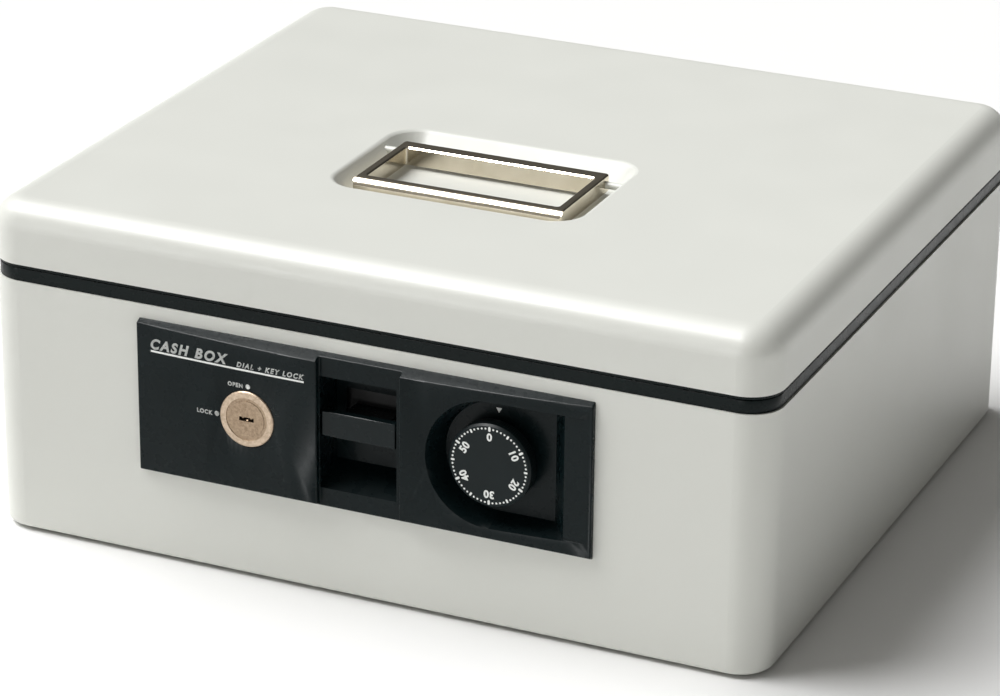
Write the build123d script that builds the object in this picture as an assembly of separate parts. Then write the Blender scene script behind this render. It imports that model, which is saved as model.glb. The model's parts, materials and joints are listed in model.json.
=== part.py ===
"""Cash box with a combination dial, a key lock and a push-up latch.

Frame: millimetres, +Z up, +X to the right seen from the front, the front faces -Y.
The origin is on the surface that the box stands on, under the middle of its outline.
"""
import math
import os

from build123d import *

os.makedirs("parts", exist_ok=True)

# ---------------------------------------------------------------- driving dimensions
BOX_WIDTH = 350.0
BOX_DEPTH = 307.0
FOOT_HEIGHT = 1.5
BODY_HEIGHT = 113.0
LID_HEIGHT = 26.5
SHEET = 1.2
CORNER_RADIUS = 15.0
LID_EDGE_RADIUS = 11.5
BODY_EDGE_RADIUS = 2.0

# Black seam between the body and the lid
SEAM_INSET = 0.8
RIM_BAND_HEIGHT = 5.7
LID_STRIP_HEIGHT = 1.5
SEAM_GAP = 0.3
RIM_SKIRT_DEPTH = 5.0
RIM_LIP_HEIGHT = 3.3
RIM_LIP_WALL = 1.0
SKIRT_WALL = 1.2
SKIRT_CLEARANCE = 0.1
LIP_CLEARANCE = 0.5
LID_SKIRT_HEIGHT = 5.5

# General fits
RUNNING_FIT = 0.05
CLEARANCE = 0.3
SCREW_RADIUS = 1.5
SCREW_HEAD_RADIUS = 2.8
SCREW_HEAD_HEIGHT = 1.8

# Feet
FOOT_RADIUS = 9.0
FOOT_STEM_RADIUS = 3.0
FOOT_HEAD_RADIUS = 4.4
FOOT_HEAD_HEIGHT = 1.4
FOOT_FROM_SIDE = 30.0

# Lock panel
PANEL_WIDTH = 204.0
PANEL_HEIGHT = 68.5
PANEL_CENTRE_ABOVE_BASE = 72.85
PANEL_EDGE_PROUD = 2.6
PANEL_MIDDLE_PROUD = 5.5
PANEL_SIDE_SLOPE = 0.51
POCKET_WALL = 1.5
PANEL_ROUND = 0.6
PANEL_SCREW_IN = 4.3

# Latch
LATCH_CENTRE_X = -0.65
LATCH_ZONE_LEFT = -18.1
LATCH_ZONE_RIGHT = 19.0
LATCH_OPENING_WIDTH = 34.5
LATCH_OPENING_BOTTOM = 47.9
LATCH_OPENING_TOP = 97.3
LATCH_POCKET_DEPTH = 13.4
LATCH_SCOOP_RISE = 7.0
LATCH_BAR_HEIGHT = 11.0
LATCH_BAR_BOTTOM = 71.0
LATCH_BAR_THICKNESS = 3.5
LATCH_BAR_SIDE_GAP = 0.7
LATCH_TRAVEL = 6.0
LATCH_NECK_WIDTH = 20.0
LATCH_NECK_HEIGHT = 8.0
LATCH_WINDOW_SIDE_GAP = 3.0
LATCH_WINDOW_END_GAP = 2.0
SLIDE_THICKNESS = 1.5
SLIDE_GAP = 2.0
SLIDE_HALF_WIDTH = 26.8
SLIDE_BELOW_NECK = 27.0
SLIDE_SHOULDER_ABOVE_NECK = 7.0
SLIDE_TONGUE_HALF_WIDTH = 16.0
SLIDE_TONGUE_HEIGHT = 13.0
GUIDE_PIN_RADIUS = 1.5
GUIDE_PIN_ROOT = 0.9
GUIDE_PIN_SPACING = 20.0
GUIDE_PIN_ABOVE_NECK = 15.0
GUIDE_PIN_BELOW_NECK = 11.0

# Latch spring, hook and striker
SPRING_RADIUS = 2.8
SPRING_WIRE = 0.35
SPRING_TURNS = 8
SPRING_LENGTH = 18.5
FRAME_SHEET = 1.5
FRAME_SIDE_GAP = 0.5
FRAME_DEPTH = 37.7
FRAME_FOOT = 9.0
HOOK_ARM = 14.05
HOOK_THICKNESS = 3.0
HOOK_HUB_RADIUS = 4.5
HOOK_NOSE = 2.6
HOOK_HEIGHT = 13.5
HOOK_ABOVE_SHOULDER = 4.5
HOOK_FINGER_HALF = 1.2
HOOK_PIN_RADIUS = 2.0
STRIKER_THICKNESS = 1.5
STRIKER_WIDTH = 24.0
STRIKER_GAP = 0.4
STRIKER_FOOT = 16.0
STRIKER_BELOW_HOOK_TOP = 7.0

# Dial
DIAL_X = 58.4
DIAL_ABOVE_BASE = 72.9
DIAL_RIM_RADIUS = 28.0
DIAL_FLOOR_RADIUS = 23.8
DIAL_RIM_RIGHT = 34.3
DIAL_FLOOR_RIGHT = 24.6
DIAL_PASSAGE_EXTRA = 7.2
DIAL_FLOOR_DEPTH = 6.0
DIAL_RAMP_WIDTH = 7.5
DIAL_RAMP_DEPTH = 1.2
KNOB_RADIUS = 18.0
KNOB_THICKNESS = 6.2
KNOB_PROUD = 4.5
KNOB_HUB_RADIUS = 9.0
SPINDLE_RADIUS = 3.0
SPINDLE_TAIL = 3.0
BUSH_RADIUS = 5.0
BUSH_FLANGE_RADIUS = 9.0
BUSH_FLANGE = 1.5
WHEEL_COUNT = 3
WHEEL_RADIUS = 16.0
WHEEL_THICKNESS = 2.4
WHEEL_PITCH = 5.2
WHEEL_END_GAP = 0.2
SPACER_RADIUS = 7.0
SPACER_GAP = 0.1
GATE_WIDTH = 4.0
GATE_DEPTH = 6.2
DRIVE_PIN_RADIUS = 1.0
DRIVE_PIN_CIRCLE = 11.0
DRIVE_PIN_LENGTH = 2.3
FENCE_THICKNESS = 3.0
FENCE_GAP = 0.5
FENCE_HEIGHT = 3.0
FENCE_ARM_HEIGHT = 4.0

# Key lock
KEY_X = -50.0
KEY_ABOVE_BASE = 73.0
ESCUTCHEON_RADIUS = 12.3
ESCUTCHEON_THICKNESS = 1.8
ESCUTCHEON_SEAT_PROUD = 3.7
CYLINDER_RADIUS = 9.4
PLUG_RADIUS = 8.0
KEYWAY_WIDTH = 6.6
KEYWAY_HEIGHT = 1.8
KEYWAY_DEPTH = 12.0
CAM_LENGTH = 15.5
CAM_WIDTH = 9.0
CAM_THICKNESS = 2.0
CAM_HUB_RADIUS = 6.5
CAM_BOSS_RADIUS = 4.0
KEY_STOP_HEIGHT = 8.0

# Lock mounting plate and cover
PLATE_SHEET = 1.5
COVER_WIDTH = 216.0
COVER_HEIGHT = 72.5
COVER_HEAD_GAP = 0.1
COVER_BACK_GAP = 1.6
COVER_SCREW_IN = 12.0
COVER_FLANGE = 9.0

# Rear hinges
HINGE_LENGTH = 70.0
HINGE_FROM_MIDDLE = 105.0
HINGE_RADIUS = 2.75
HINGE_PIN_RADIUS = 1.5
HINGE_KNUCKLES = 5
HINGE_SHEET = 1.2
HINGE_BODY_LEAF = 21.0
HINGE_LID_LEAF = 13.0
HINGE_LEAF_GAP = 0.45
RIVET_RADIUS = 1.6
RIVET_HEAD_RADIUS = 2.8
RIVET_HEAD_HEIGHT = 1.0
RIVET_SPACING = 24.0

# Carrying handle and its pocket in the lid
HANDLE_WIDTH = 96.0
HANDLE_DEPTH = 52.5
HANDLE_THICKNESS = 8.0
HANDLE_SIDE_BAR = 3.9
HANDLE_FRONT_BAR = 6.5
HANDLE_BACK_BAR = 7.5
HANDLE_PROUD = 0.3
HANDLE_FRONT_ROUND = 4.2
HANDLE_EDGE_ROUND = 0.9
HANDLE_FRONT_Y = -65.0
HANDLE_PIN_RADIUS = 1.6
HANDLE_PIN_ENGAGEMENT = 8.0
HANDLE_PIN_HEAD_RADIUS = 2.1
POCKET_WIDTH = 115.0
POCKET_FRONT_Y = -74.5
POCKET_BACK_Y = 4.5
POCKET_DEPTH = 9.2
POCKET_SLOPE = 7.6
POCKET_CORNER = 14.0
POCKET_RIM_ROUND = 2.5
POCKET_FLOOR_ROUND = 3.0

# Coin tray and its rails
TRAY_HEIGHT = 32.0
TRAY_BOTTOM_BELOW_BODY_TOP = 30.5
TRAY_WALL = 1.6
TRAY_CORNER = 8.0
TRAY_GAP = 1.0
TRAY_FRONT_ROW = 80.0
TRAY_COIN_CUPS = 5
TRAY_NOTE_BAYS = 3
TRAY_GRIP_RADIUS = 11.0
RAIL_LEG = 10.0
RAIL_END_GAP = 20.0

# Floor mat
MAT_THICKNESS = 2.0
MAT_GAP = 3.0

# ---------------------------------------------------------------- derived places
HALF_WIDTH = BOX_WIDTH / 2
FRONT = -BOX_DEPTH / 2
BACK = BOX_DEPTH / 2
BASE = FOOT_HEIGHT
BODY_TOP = BASE + BODY_HEIGHT
RIM_TOP = BODY_TOP + RIM_BAND_HEIGHT
LID_STRIP_BOTTOM = RIM_TOP + SEAM_GAP
LID_BOTTOM = LID_STRIP_BOTTOM + LID_STRIP_HEIGHT
LID_TOP = LID_BOTTOM + LID_HEIGHT
FRONT_INSIDE = FRONT + SHEET
SKIRT_INSET = SHEET + SKIRT_CLEARANCE
LIP_INSET = SKIRT_INSET + SKIRT_WALL + LIP_CLEARANCE
RIM_INNER_INSET = LIP_INSET + RIM_LIP_WALL

PANEL_MIDDLE_Z = BASE + PANEL_CENTRE_ABOVE_BASE
PANEL_BOTTOM = PANEL_MIDDLE_Z - PANEL_HEIGHT / 2
PANEL_TOP = PANEL_MIDDLE_Z + PANEL_HEIGHT / 2
PLATE_BACK = FRONT_INSIDE + PLATE_SHEET

LATCH_LEFT = LATCH_CENTRE_X - LATCH_OPENING_WIDTH / 2
LATCH_RIGHT = LATCH_CENTRE_X + LATCH_OPENING_WIDTH / 2
LATCH_BOTTOM = BASE + LATCH_OPENING_BOTTOM
LATCH_TOP = BASE + LATCH_OPENING_TOP
LATCH_BACK = FRONT + LATCH_POCKET_DEPTH
LATCH_SHELL_BACK = LATCH_BACK + POCKET_WALL
BAR_BOTTOM = BASE + LATCH_BAR_BOTTOM
BAR_TOP = BAR_BOTTOM + LATCH_BAR_HEIGHT
NECK_MIDDLE = (BAR_BOTTOM + BAR_TOP) / 2 - (LATCH_BAR_HEIGHT - LATCH_NECK_HEIGHT) / 2
NECK_BOTTOM = NECK_MIDDLE - LATCH_NECK_HEIGHT / 2
NECK_TOP = NECK_MIDDLE + LATCH_NECK_HEIGHT / 2
SLIDE_FRONT = LATCH_SHELL_BACK + SLIDE_GAP
SLIDE_BACK = SLIDE_FRONT + SLIDE_THICKNESS
SLIDE_SHOULDER = NECK_TOP + SLIDE_SHOULDER_ABOVE_NECK
SLIDE_TOP = SLIDE_SHOULDER + SLIDE_TONGUE_HEIGHT
SLIDE_BOTTOM = NECK_BOTTOM - SLIDE_BELOW_NECK
SPRING_SEAT = SLIDE_SHOULDER + SPRING_LENGTH
SPRING_X = SLIDE_HALF_WIDTH - SPRING_RADIUS - SPRING_WIRE
CHEEK_INNER = SLIDE_HALF_WIDTH + FRAME_SIDE_GAP
CHEEK_OUTER = CHEEK_INNER + FRAME_SHEET

HOOK_Y = SLIDE_FRONT + SLIDE_THICKNESS / 2 + HOOK_ARM
HOOK_Z = SLIDE_SHOULDER + HOOK_ABOVE_SHOULDER
HOOK_TOP = HOOK_Z + HOOK_HEIGHT
HOOK_NOSE_Y = HOOK_Y - HOOK_HUB_RADIUS - HOOK_NOSE
STRIKER_BACK = HOOK_NOSE_Y - STRIKER_GAP
STRIKER_FRONT = STRIKER_BACK - STRIKER_THICKNESS
STRIKER_BOTTOM = HOOK_TOP - STRIKER_BELOW_HOOK_TOP

DIAL_Z = BASE + DIAL_ABOVE_BASE
DIAL_FLOOR = FRONT + DIAL_FLOOR_DEPTH
DIAL_SHELL_BACK = DIAL_FLOOR + POCKET_WALL
KNOB_FACE = FRONT - KNOB_PROUD
KNOB_BACK = KNOB_FACE + KNOB_THICKNESS
WHEELS_START = DIAL_SHELL_BACK + BUSH_FLANGE + WHEEL_END_GAP
BUSH_END = WHEELS_START + WHEEL_COUNT * WHEEL_PITCH
DRIVE_CAM_FRONT = BUSH_END + CLEARANCE
DRIVE_CAM_BACK = DRIVE_CAM_FRONT + WHEEL_THICKNESS
SPINDLE_END = DRIVE_CAM_BACK + SPINDLE_TAIL

KEY_Z = BASE + KEY_ABOVE_BASE
ESCUTCHEON_SEAT = FRONT - ESCUTCHEON_SEAT_PROUD
ESCUTCHEON_FACE = ESCUTCHEON_SEAT - ESCUTCHEON_THICKNESS
CYLINDER_END = SLIDE_FRONT

COVER_TOP = SPRING_SEAT + FRAME_SHEET + COVER_HEAD_GAP + SHEET
COVER_BOTTOM = COVER_TOP - COVER_HEIGHT
COVER_BACK = PLATE_BACK + FRAME_DEPTH + COVER_BACK_GAP + SHEET
PLATE_HALF_WIDTH = COVER_WIDTH / 2 + COVER_FLANGE

HINGE_Y = BACK + HINGE_RADIUS
HINGE_Z = RIM_TOP + SEAM_GAP / 2

HANDLE_TOP = LID_TOP + HANDLE_PROUD
HANDLE_BOTTOM = HANDLE_TOP - HANDLE_THICKNESS
HANDLE_BACK_Y = HANDLE_FRONT_Y + HANDLE_DEPTH
HANDLE_PIVOT_Y = HANDLE_BACK_Y - HANDLE_BACK_BAR / 2
HANDLE_PIVOT_Z = HANDLE_TOP - HANDLE_THICKNESS / 2
POCKET_FLOOR = LID_TOP - POCKET_DEPTH
POCKET_HALF = POCKET_WIDTH / 2
ROOF_UNDERSIDE = LID_TOP - SHEET

TRAY_BOTTOM = BODY_TOP - TRAY_BOTTOM_BELOW_BODY_TOP
TRAY_TOP = TRAY_BOTTOM + TRAY_HEIGHT
TRAY_HALF_WIDTH = HALF_WIDTH - RIM_INNER_INSET - TRAY_GAP
TRAY_FRONT = COVER_BACK + TRAY_GAP
TRAY_BACK = BACK - RIM_INNER_INSET - TRAY_GAP


# ---------------------------------------------------------------- shape helpers
def block(x0, x1, y0, y1, z0, z1):
    """A box between two values on each axis."""
    centre = Pos((x0 + x1) / 2, (y0 + y1) / 2, (z0 + z1) / 2)
    return centre * Box(x1 - x0, y1 - y0, z1 - z0)


def rod_x(y, z, x0, x1, radius):
    """A round bar along X."""
    return Pos((x0 + x1) / 2, y, z) * Rot(0, 90, 0) * Cylinder(radius, x1 - x0)


def rod_y(x, z, y0, y1, radius):
    """A round bar along Y."""
    return Pos(x, (y0 + y1) / 2, z) * Rot(90, 0, 0) * Cylinder(radius, y1 - y0)


def rod_z(x, y, z0, z1, radius):
    """A round bar along Z."""
    return Pos(x, y, (z0 + z1) / 2) * Cylinder(radius, z1 - z0)


def outline_block(inset, z0, z1):
    """The box's outline, set in by a distance, between two heights."""
    outline = RectangleRounded(
        BOX_WIDTH - 2 * inset, BOX_DEPTH - 2 * inset, CORNER_RADIUS - inset
    )
    return extrude(Pos(0, 0, z0) * outline, z1 - z0)


def outline_ring(outer_inset, inner_inset, z0, z1):
    """A closed band that follows the box's outline."""
    return outline_block(outer_inset, z0, z1) - outline_block(inner_inset, z0 - 1, z1 + 1)


def side_profile(points, x0, x1):
    """A prism along X whose outline is given as (y, z) points."""
    face = make_face(Plane.YZ.offset(x0) * Polyline(*points, close=True))
    return extrude(face, x1 - x0, dir=(1, 0, 0))


def front_profile(points, y0, y1):
    """A prism along Y whose outline is given as (x, z) points."""
    plane = Plane(origin=(0, y0, 0), x_dir=(1, 0, 0), z_dir=(0, -1, 0))
    face = make_face(plane * Polyline(*points, close=True))
    return extrude(face, y1 - y0, dir=(0, 1, 0))


def headed_screw(x, z, head_face, tip, head_back):
    """A pan screw along Y: its head lies between head_face and head_back, its tip at tip."""
    low, high = sorted((head_face, head_back))
    head = rod_y(x, z, low, high, SCREW_HEAD_RADIUS)
    low, high = sorted((head_face, tip))
    shank = rod_y(x, z, low, high, SCREW_RADIUS)
    return head + shank


def one_solid(shape):
    """The single solid of a shape made by joining."""
    return shape.solids()[0]


def group(shapes):
    """Separate solids that share one node."""
    return Compound(children=[one_solid(shape) for shape in shapes])


def bow(x):
    """How far the lock panel stands out of the front at x."""
    radius_share = (x / (PANEL_WIDTH / 2)) ** 2
    return PANEL_MIDDLE_PROUD - (PANEL_MIDDLE_PROUD - PANEL_EDGE_PROUD) * radius_share


PARTS = {}

# ---------------------------------------------------------------- places of fasteners
PANEL_SCREW_PLACES = [
    (x, z)
    for x in (-PANEL_WIDTH / 2 + 14, PANEL_WIDTH / 2 - 14)
    for z in (PANEL_BOTTOM + PANEL_SCREW_IN, PANEL_TOP - PANEL_SCREW_IN)
]
COVER_SCREW_PLACES = [
    (x, z)
    for x in (-PLATE_HALF_WIDTH + COVER_FLANGE / 2, PLATE_HALF_WIDTH - COVER_FLANGE / 2)
    for z in (COVER_BOTTOM + COVER_SCREW_IN, COVER_TOP - COVER_SCREW_IN)
]
FRAME_SCREW_PLACES = [
    (LATCH_CENTRE_X + side * (CHEEK_OUTER + FRAME_FOOT / 2), SPRING_SEAT - 4)
    for side in (-1, 1)
]
GUIDE_PIN_PLACES = [
    (LATCH_CENTRE_X + side * GUIDE_PIN_SPACING / 2, z)
    for side in (-1, 1)
    for z in (NECK_BOTTOM - GUIDE_PIN_BELOW_NECK, NECK_TOP + GUIDE_PIN_ABOVE_NECK)
]
FOOT_PLACES = [
    (x, y)
    for x in (-HALF_WIDTH + FOOT_FROM_SIDE, HALF_WIDTH - FOOT_FROM_SIDE)
    for y in (FRONT + FOOT_FROM_SIDE, BACK - FOOT_FROM_SIDE)
]
HINGE_MIDDLES = {"left": -HINGE_FROM_MIDDLE, "right": HINGE_FROM_MIDDLE}
BODY_RIVET_Z = BODY_TOP - RIM_SKIRT_DEPTH - RIVET_HEAD_RADIUS - 4
LID_RIVET_Z = LID_BOTTOM + LID_SKIRT_HEIGHT + RIVET_HEAD_RADIUS + 1
RIVET_XS = [
    middle + step * RIVET_SPACING for middle in HINGE_MIDDLES.values() for step in (-1, 0, 1)
]


# ---------------------------------------------------------------- dial recess outline
def dial_outline(radius, right, y):
    """The recess's outline at depth y: a half circle on the left, square on the right."""
    plane = Plane(origin=(DIAL_X, y, DIAL_Z), x_dir=(1, 0, 0), z_dir=(0, -1, 0))
    edges = [
        Line((0, radius), (right, radius)),
        Line((right, radius), (right, -radius)),
        Line((right, -radius), (0, -radius)),
        ThreePointArc((0, -radius), (-radius, 0), (0, radius)),
    ]
    return make_face(plane * Curve(children=edges))


def dial_recess(y0, y1, wall=0.0, square_side=None):
    """The drafted recess between two depths, grown by a wall; square_side holds its right side."""
    rim_y = FRONT - PANEL_MIDDLE_PROUD

    def at(y):
        share = (y - rim_y) / (DIAL_FLOOR - rim_y)
        radius = DIAL_RIM_RADIUS + (DIAL_FLOOR_RADIUS - DIAL_RIM_RADIUS) * share
        drafted = DIAL_RIM_RIGHT + (DIAL_FLOOR_RIGHT - DIAL_RIM_RIGHT) * share
        right = square_side or drafted + wall
        return dial_outline(radius + wall, right, y)

    return loft([at(y0), at(y1)])


# ---------------------------------------------------------------- body shell
def make_body_shell():
    outer = outline_block(0, BASE, BODY_TOP)
    outer = fillet(outer.faces().sort_by(Axis.Z)[0].edges(), BODY_EDGE_RADIUS)
    shell = outer - outline_block(SHEET, BASE + SHEET, BODY_TOP + 1)
    for x, y in FOOT_PLACES:
        shell -= rod_z(x, y, BASE - 1, BASE + SHEET + 1, FOOT_STEM_RADIUS)
    for x in RIVET_XS:
        shell -= rod_y(x, BODY_RIVET_Z, BACK - 4, BACK + 1, RIVET_RADIUS)
    return shell - lock_passages(FRONT - 1, FRONT_INSIDE + 1)


def lock_passages(y0, y1):
    """Everything that the front wall and the mounting plate leave open for the lock."""
    gap = CLEARANCE
    pocket = POCKET_WALL + gap
    latch = block(
        LATCH_LEFT - pocket, LATCH_RIGHT + pocket, y0, y1, LATCH_BOTTOM - pocket, LATCH_TOP + pocket
    )
    dial_face = dial_outline(
        DIAL_RIM_RADIUS + pocket, DIAL_FLOOR_RIGHT + DIAL_PASSAGE_EXTRA + pocket, y0
    )
    dial = extrude(dial_face, y1 - y0, dir=(0, 1, 0))
    passages = latch + dial + rod_y(KEY_X, KEY_Z, y0, y1, CYLINDER_RADIUS + gap)
    for x, z in PANEL_SCREW_PLACES:
        passages += rod_y(x, z, y0, y1, SCREW_RADIUS + gap)
    return passages


def make_feet():
    feet = []
    for x, y in FOOT_PLACES:
        pad = rod_z(x, y, 0, BASE, FOOT_RADIUS)
        pad = chamfer(pad.faces().sort_by(Axis.Z)[0].edges(), FOOT_HEIGHT / 3)
        stem = rod_z(x, y, BASE, BASE + SHEET, FOOT_STEM_RADIUS)
        head = rod_z(x, y, BASE + SHEET, BASE + SHEET + FOOT_HEAD_HEIGHT, FOOT_HEAD_RADIUS)
        feet.append(pad + stem + head)
    return group(feet)


def make_rim_frame():
    band = outline_ring(SEAM_INSET, RIM_INNER_INSET, BODY_TOP, RIM_TOP)
    skirt = outline_ring(SKIRT_INSET, RIM_INNER_INSET, BODY_TOP - RIM_SKIRT_DEPTH, BODY_TOP)
    lip = outline_ring(LIP_INSET, RIM_INNER_INSET, RIM_TOP, RIM_TOP + RIM_LIP_HEIGHT)
    return one_solid(band + skirt + lip)


PARTS["body_shell"] = make_body_shell()
PARTS["rubber_feet"] = make_feet()
PARTS["rim_frame"] = make_rim_frame()


# ---------------------------------------------------------------- lock panel
def make_lock_panel():
    half = PANEL_WIDTH / 2
    edge_y = FRONT - PANEL_EDGE_PROUD
    plan = Curve(
        children=[
            Line((-half, FRONT), (-half, edge_y)),
            ThreePointArc((-half, edge_y), (0, FRONT - PANEL_MIDDLE_PROUD), (half, edge_y)),
            Line((half, edge_y), (half, FRONT)),
            Line((half, FRONT), (-half, FRONT)),
        ]
    )
    panel = extrude(Pos(0, 0, PANEL_BOTTOM) * make_face(plan), PANEL_HEIGHT)
    reach = PANEL_MIDDLE_PROUD + 1
    drop = PANEL_SIDE_SLOPE * reach
    panel &= side_profile(
        [
            (FRONT, PANEL_BOTTOM),
            (FRONT, PANEL_TOP),
            (FRONT - reach, PANEL_TOP - drop),
            (FRONT - reach, PANEL_BOTTOM + drop),
        ],
        -half - 1,
        half + 1,
    )
    panel -= block(
        LATCH_ZONE_LEFT,
        LATCH_ZONE_RIGHT,
        FRONT - reach,
        FRONT - PANEL_EDGE_PROUD,
        PANEL_BOTTOM - 1,
        PANEL_TOP + 1,
    )
    panel = one_solid(panel)
    front_edges = panel.edges().filter_by(lambda edge: edge.center().Y < FRONT - 0.5)
    panel = fillet(front_edges, PANEL_ROUND)
    panel += dial_recess(FRONT, DIAL_SHELL_BACK, POCKET_WALL)
    panel += block(
        LATCH_LEFT - POCKET_WALL,
        LATCH_RIGHT + POCKET_WALL,
        FRONT,
        LATCH_SHELL_BACK,
        LATCH_BOTTOM - POCKET_WALL,
        LATCH_TOP + POCKET_WALL,
    )
    panel -= dial_recess(FRONT - reach, DIAL_FLOOR)
    panel -= dial_ramp()
    panel -= side_profile(
        [
            (FRONT - reach, LATCH_BOTTOM),
            (FRONT - PANEL_EDGE_PROUD, LATCH_BOTTOM),
            (LATCH_BACK, LATCH_BOTTOM + LATCH_SCOOP_RISE),
            (LATCH_BACK, LATCH_TOP),
            (FRONT - reach, LATCH_TOP),
        ],
        LATCH_LEFT,
        LATCH_RIGHT,
    )
    window_half = LATCH_NECK_WIDTH / 2 + LATCH_WINDOW_SIDE_GAP
    panel -= block(
        LATCH_CENTRE_X - window_half,
        LATCH_CENTRE_X + window_half,
        LATCH_BACK - 1,
        LATCH_SHELL_BACK + 1,
        NECK_BOTTOM - LATCH_WINDOW_END_GAP,
        NECK_TOP + LATCH_TRAVEL + LATCH_WINDOW_END_GAP,
    )
    panel -= rod_y(KEY_X, KEY_Z, FRONT - reach, ESCUTCHEON_SEAT, ESCUTCHEON_RADIUS + CLEARANCE)
    panel -= rod_y(KEY_X, KEY_Z, FRONT - reach, FRONT + 1, CYLINDER_RADIUS + CLEARANCE)
    panel -= rod_y(DIAL_X, DIAL_Z, DIAL_FLOOR - 1, DIAL_SHELL_BACK + 1, BUSH_RADIUS)
    for x, z in PANEL_SCREW_PLACES:
        panel -= rod_y(x, z, FRONT - bow(x) + 0.9, FRONT + 1, SCREW_RADIUS)
    for x, z in GUIDE_PIN_PLACES:
        root = LATCH_SHELL_BACK - GUIDE_PIN_ROOT
        panel -= rod_y(x, z, root, LATCH_SHELL_BACK + 1, GUIDE_PIN_RADIUS)
    return one_solid(panel)


def dial_ramp():
    """The shallow ramp that runs from the recess's square side out to the panel's face."""
    inner = DIAL_X + DIAL_RIM_RIGHT - 4
    outer = DIAL_X + DIAL_RIM_RIGHT + DIAL_RAMP_WIDTH
    plan = Polyline(
        (outer, FRONT - bow(outer)),
        (inner, FRONT - bow(inner) + DIAL_RAMP_DEPTH),
        (inner, FRONT - PANEL_MIDDLE_PROUD - 1),
        (outer, FRONT - PANEL_MIDDLE_PROUD - 1),
        close=True,
    )
    bottom = DIAL_Z - DIAL_RIM_RADIUS - 1
    wedge = extrude(Pos(0, 0, bottom) * make_face(plan), 2 * DIAL_RIM_RADIUS + 2)
    front = FRONT - PANEL_MIDDLE_PROUD - 1
    side = DIAL_RIM_RIGHT + DIAL_RAMP_WIDTH + 1
    return wedge & dial_recess(front, FRONT, square_side=side)


def make_panel_screws():
    return group(
        headed_screw(
            x, z, PLATE_BACK, FRONT - bow(x) + 1.1, PLATE_BACK + SCREW_HEAD_HEIGHT
        )
        for x, z in PANEL_SCREW_PLACES
    )


PARTS["lock_panel"] = make_lock_panel()
PARTS["panel_screws"] = make_panel_screws()


# ---------------------------------------------------------------- mounting plate and cover
def make_mount_plate():
    plate = block(
        -PLATE_HALF_WIDTH, PLATE_HALF_WIDTH, FRONT_INSIDE, PLATE_BACK, COVER_BOTTOM, COVER_TOP
    )
    plate -= lock_passages(FRONT_INSIDE - 1, PLATE_BACK + 1)
    for x, z in COVER_SCREW_PLACES + FRAME_SCREW_PLACES:
        plate -= rod_y(x, z, FRONT_INSIDE - 1, PLATE_BACK + 1, SCREW_RADIUS)
    return one_solid(plate)


def make_lock_cover():
    half = COVER_WIDTH / 2
    outer = block(-half, half, PLATE_BACK, COVER_BACK, COVER_BOTTOM, COVER_TOP)
    outer = fillet(outer.edges().filter_by(lambda edge: edge.center().Y > COVER_BACK - 1), 2.5)
    inner = block(
        -half + SHEET,
        half - SHEET,
        PLATE_BACK - 1,
        COVER_BACK - SHEET,
        COVER_BOTTOM + SHEET,
        COVER_TOP - SHEET,
    )
    inner = fillet(inner.edges().filter_by(lambda edge: edge.center().Y > COVER_BACK - 2), 1.3)
    cover = outer - inner
    for side in (-1, 1):
        x0, x1 = sorted((side * (half - SHEET), side * PLATE_HALF_WIDTH))
        cover += block(x0, x1, PLATE_BACK, PLATE_BACK + SHEET, COVER_BOTTOM, COVER_TOP)
    cover -= block(
        LATCH_CENTRE_X - STRIKER_WIDTH / 2 - 2,
        LATCH_CENTRE_X + STRIKER_WIDTH / 2 + 2,
        STRIKER_FRONT - 2,
        STRIKER_BACK + 2,
        COVER_TOP - 2 * SHEET,
        COVER_TOP + 1,
    )
    for x, z in COVER_SCREW_PLACES:
        cover -= rod_y(x, z, PLATE_BACK - 1, PLATE_BACK + SHEET + 1, SCREW_RADIUS)
    return one_solid(cover)


def make_cover_screws():
    seat = PLATE_BACK + SHEET
    return group(
        headed_screw(x, z, seat, FRONT_INSIDE, seat + SCREW_HEAD_HEIGHT)
        for x, z in COVER_SCREW_PLACES
    )


PARTS["lock_mount_plate"] = make_mount_plate()
PARTS["lock_cover"] = make_lock_cover()
PARTS["cover_screws"] = make_cover_screws()


# ---------------------------------------------------------------- latch
def make_latch_bar():
    bar = block(
        LATCH_LEFT + LATCH_BAR_SIDE_GAP,
        LATCH_RIGHT - LATCH_BAR_SIDE_GAP,
        FRONT - PANEL_EDGE_PROUD,
        FRONT - PANEL_EDGE_PROUD + LATCH_BAR_THICKNESS,
        BAR_BOTTOM,
        BAR_TOP,
    )
    bar = fillet(bar.edges().filter_by(lambda edge: edge.center().Y < FRONT - 2), 0.6)
    neck = block(
        LATCH_CENTRE_X - LATCH_NECK_WIDTH / 2,
        LATCH_CENTRE_X + LATCH_NECK_WIDTH / 2,
        FRONT - PANEL_EDGE_PROUD + LATCH_BAR_THICKNESS,
        SLIDE_FRONT,
        NECK_BOTTOM,
        NECK_TOP,
    )
    bar += neck
    for x in SLIDE_RIVET_XS:
        bar -= rod_y(x, NECK_MIDDLE, SLIDE_FRONT - 6, SLIDE_FRONT + 1, RIVET_RADIUS)
    return one_solid(bar)


SLIDE_RIVET_XS = [LATCH_CENTRE_X + side * LATCH_NECK_WIDTH / 4 for side in (-1, 1)]
FENCE_TOP = DIAL_Z - WHEEL_RADIUS - LATCH_TRAVEL - FENCE_GAP
FENCE_ARM_TOP = FENCE_TOP - FENCE_HEIGHT
FENCE_ARM_BOTTOM = FENCE_ARM_TOP - FENCE_ARM_HEIGHT


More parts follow.
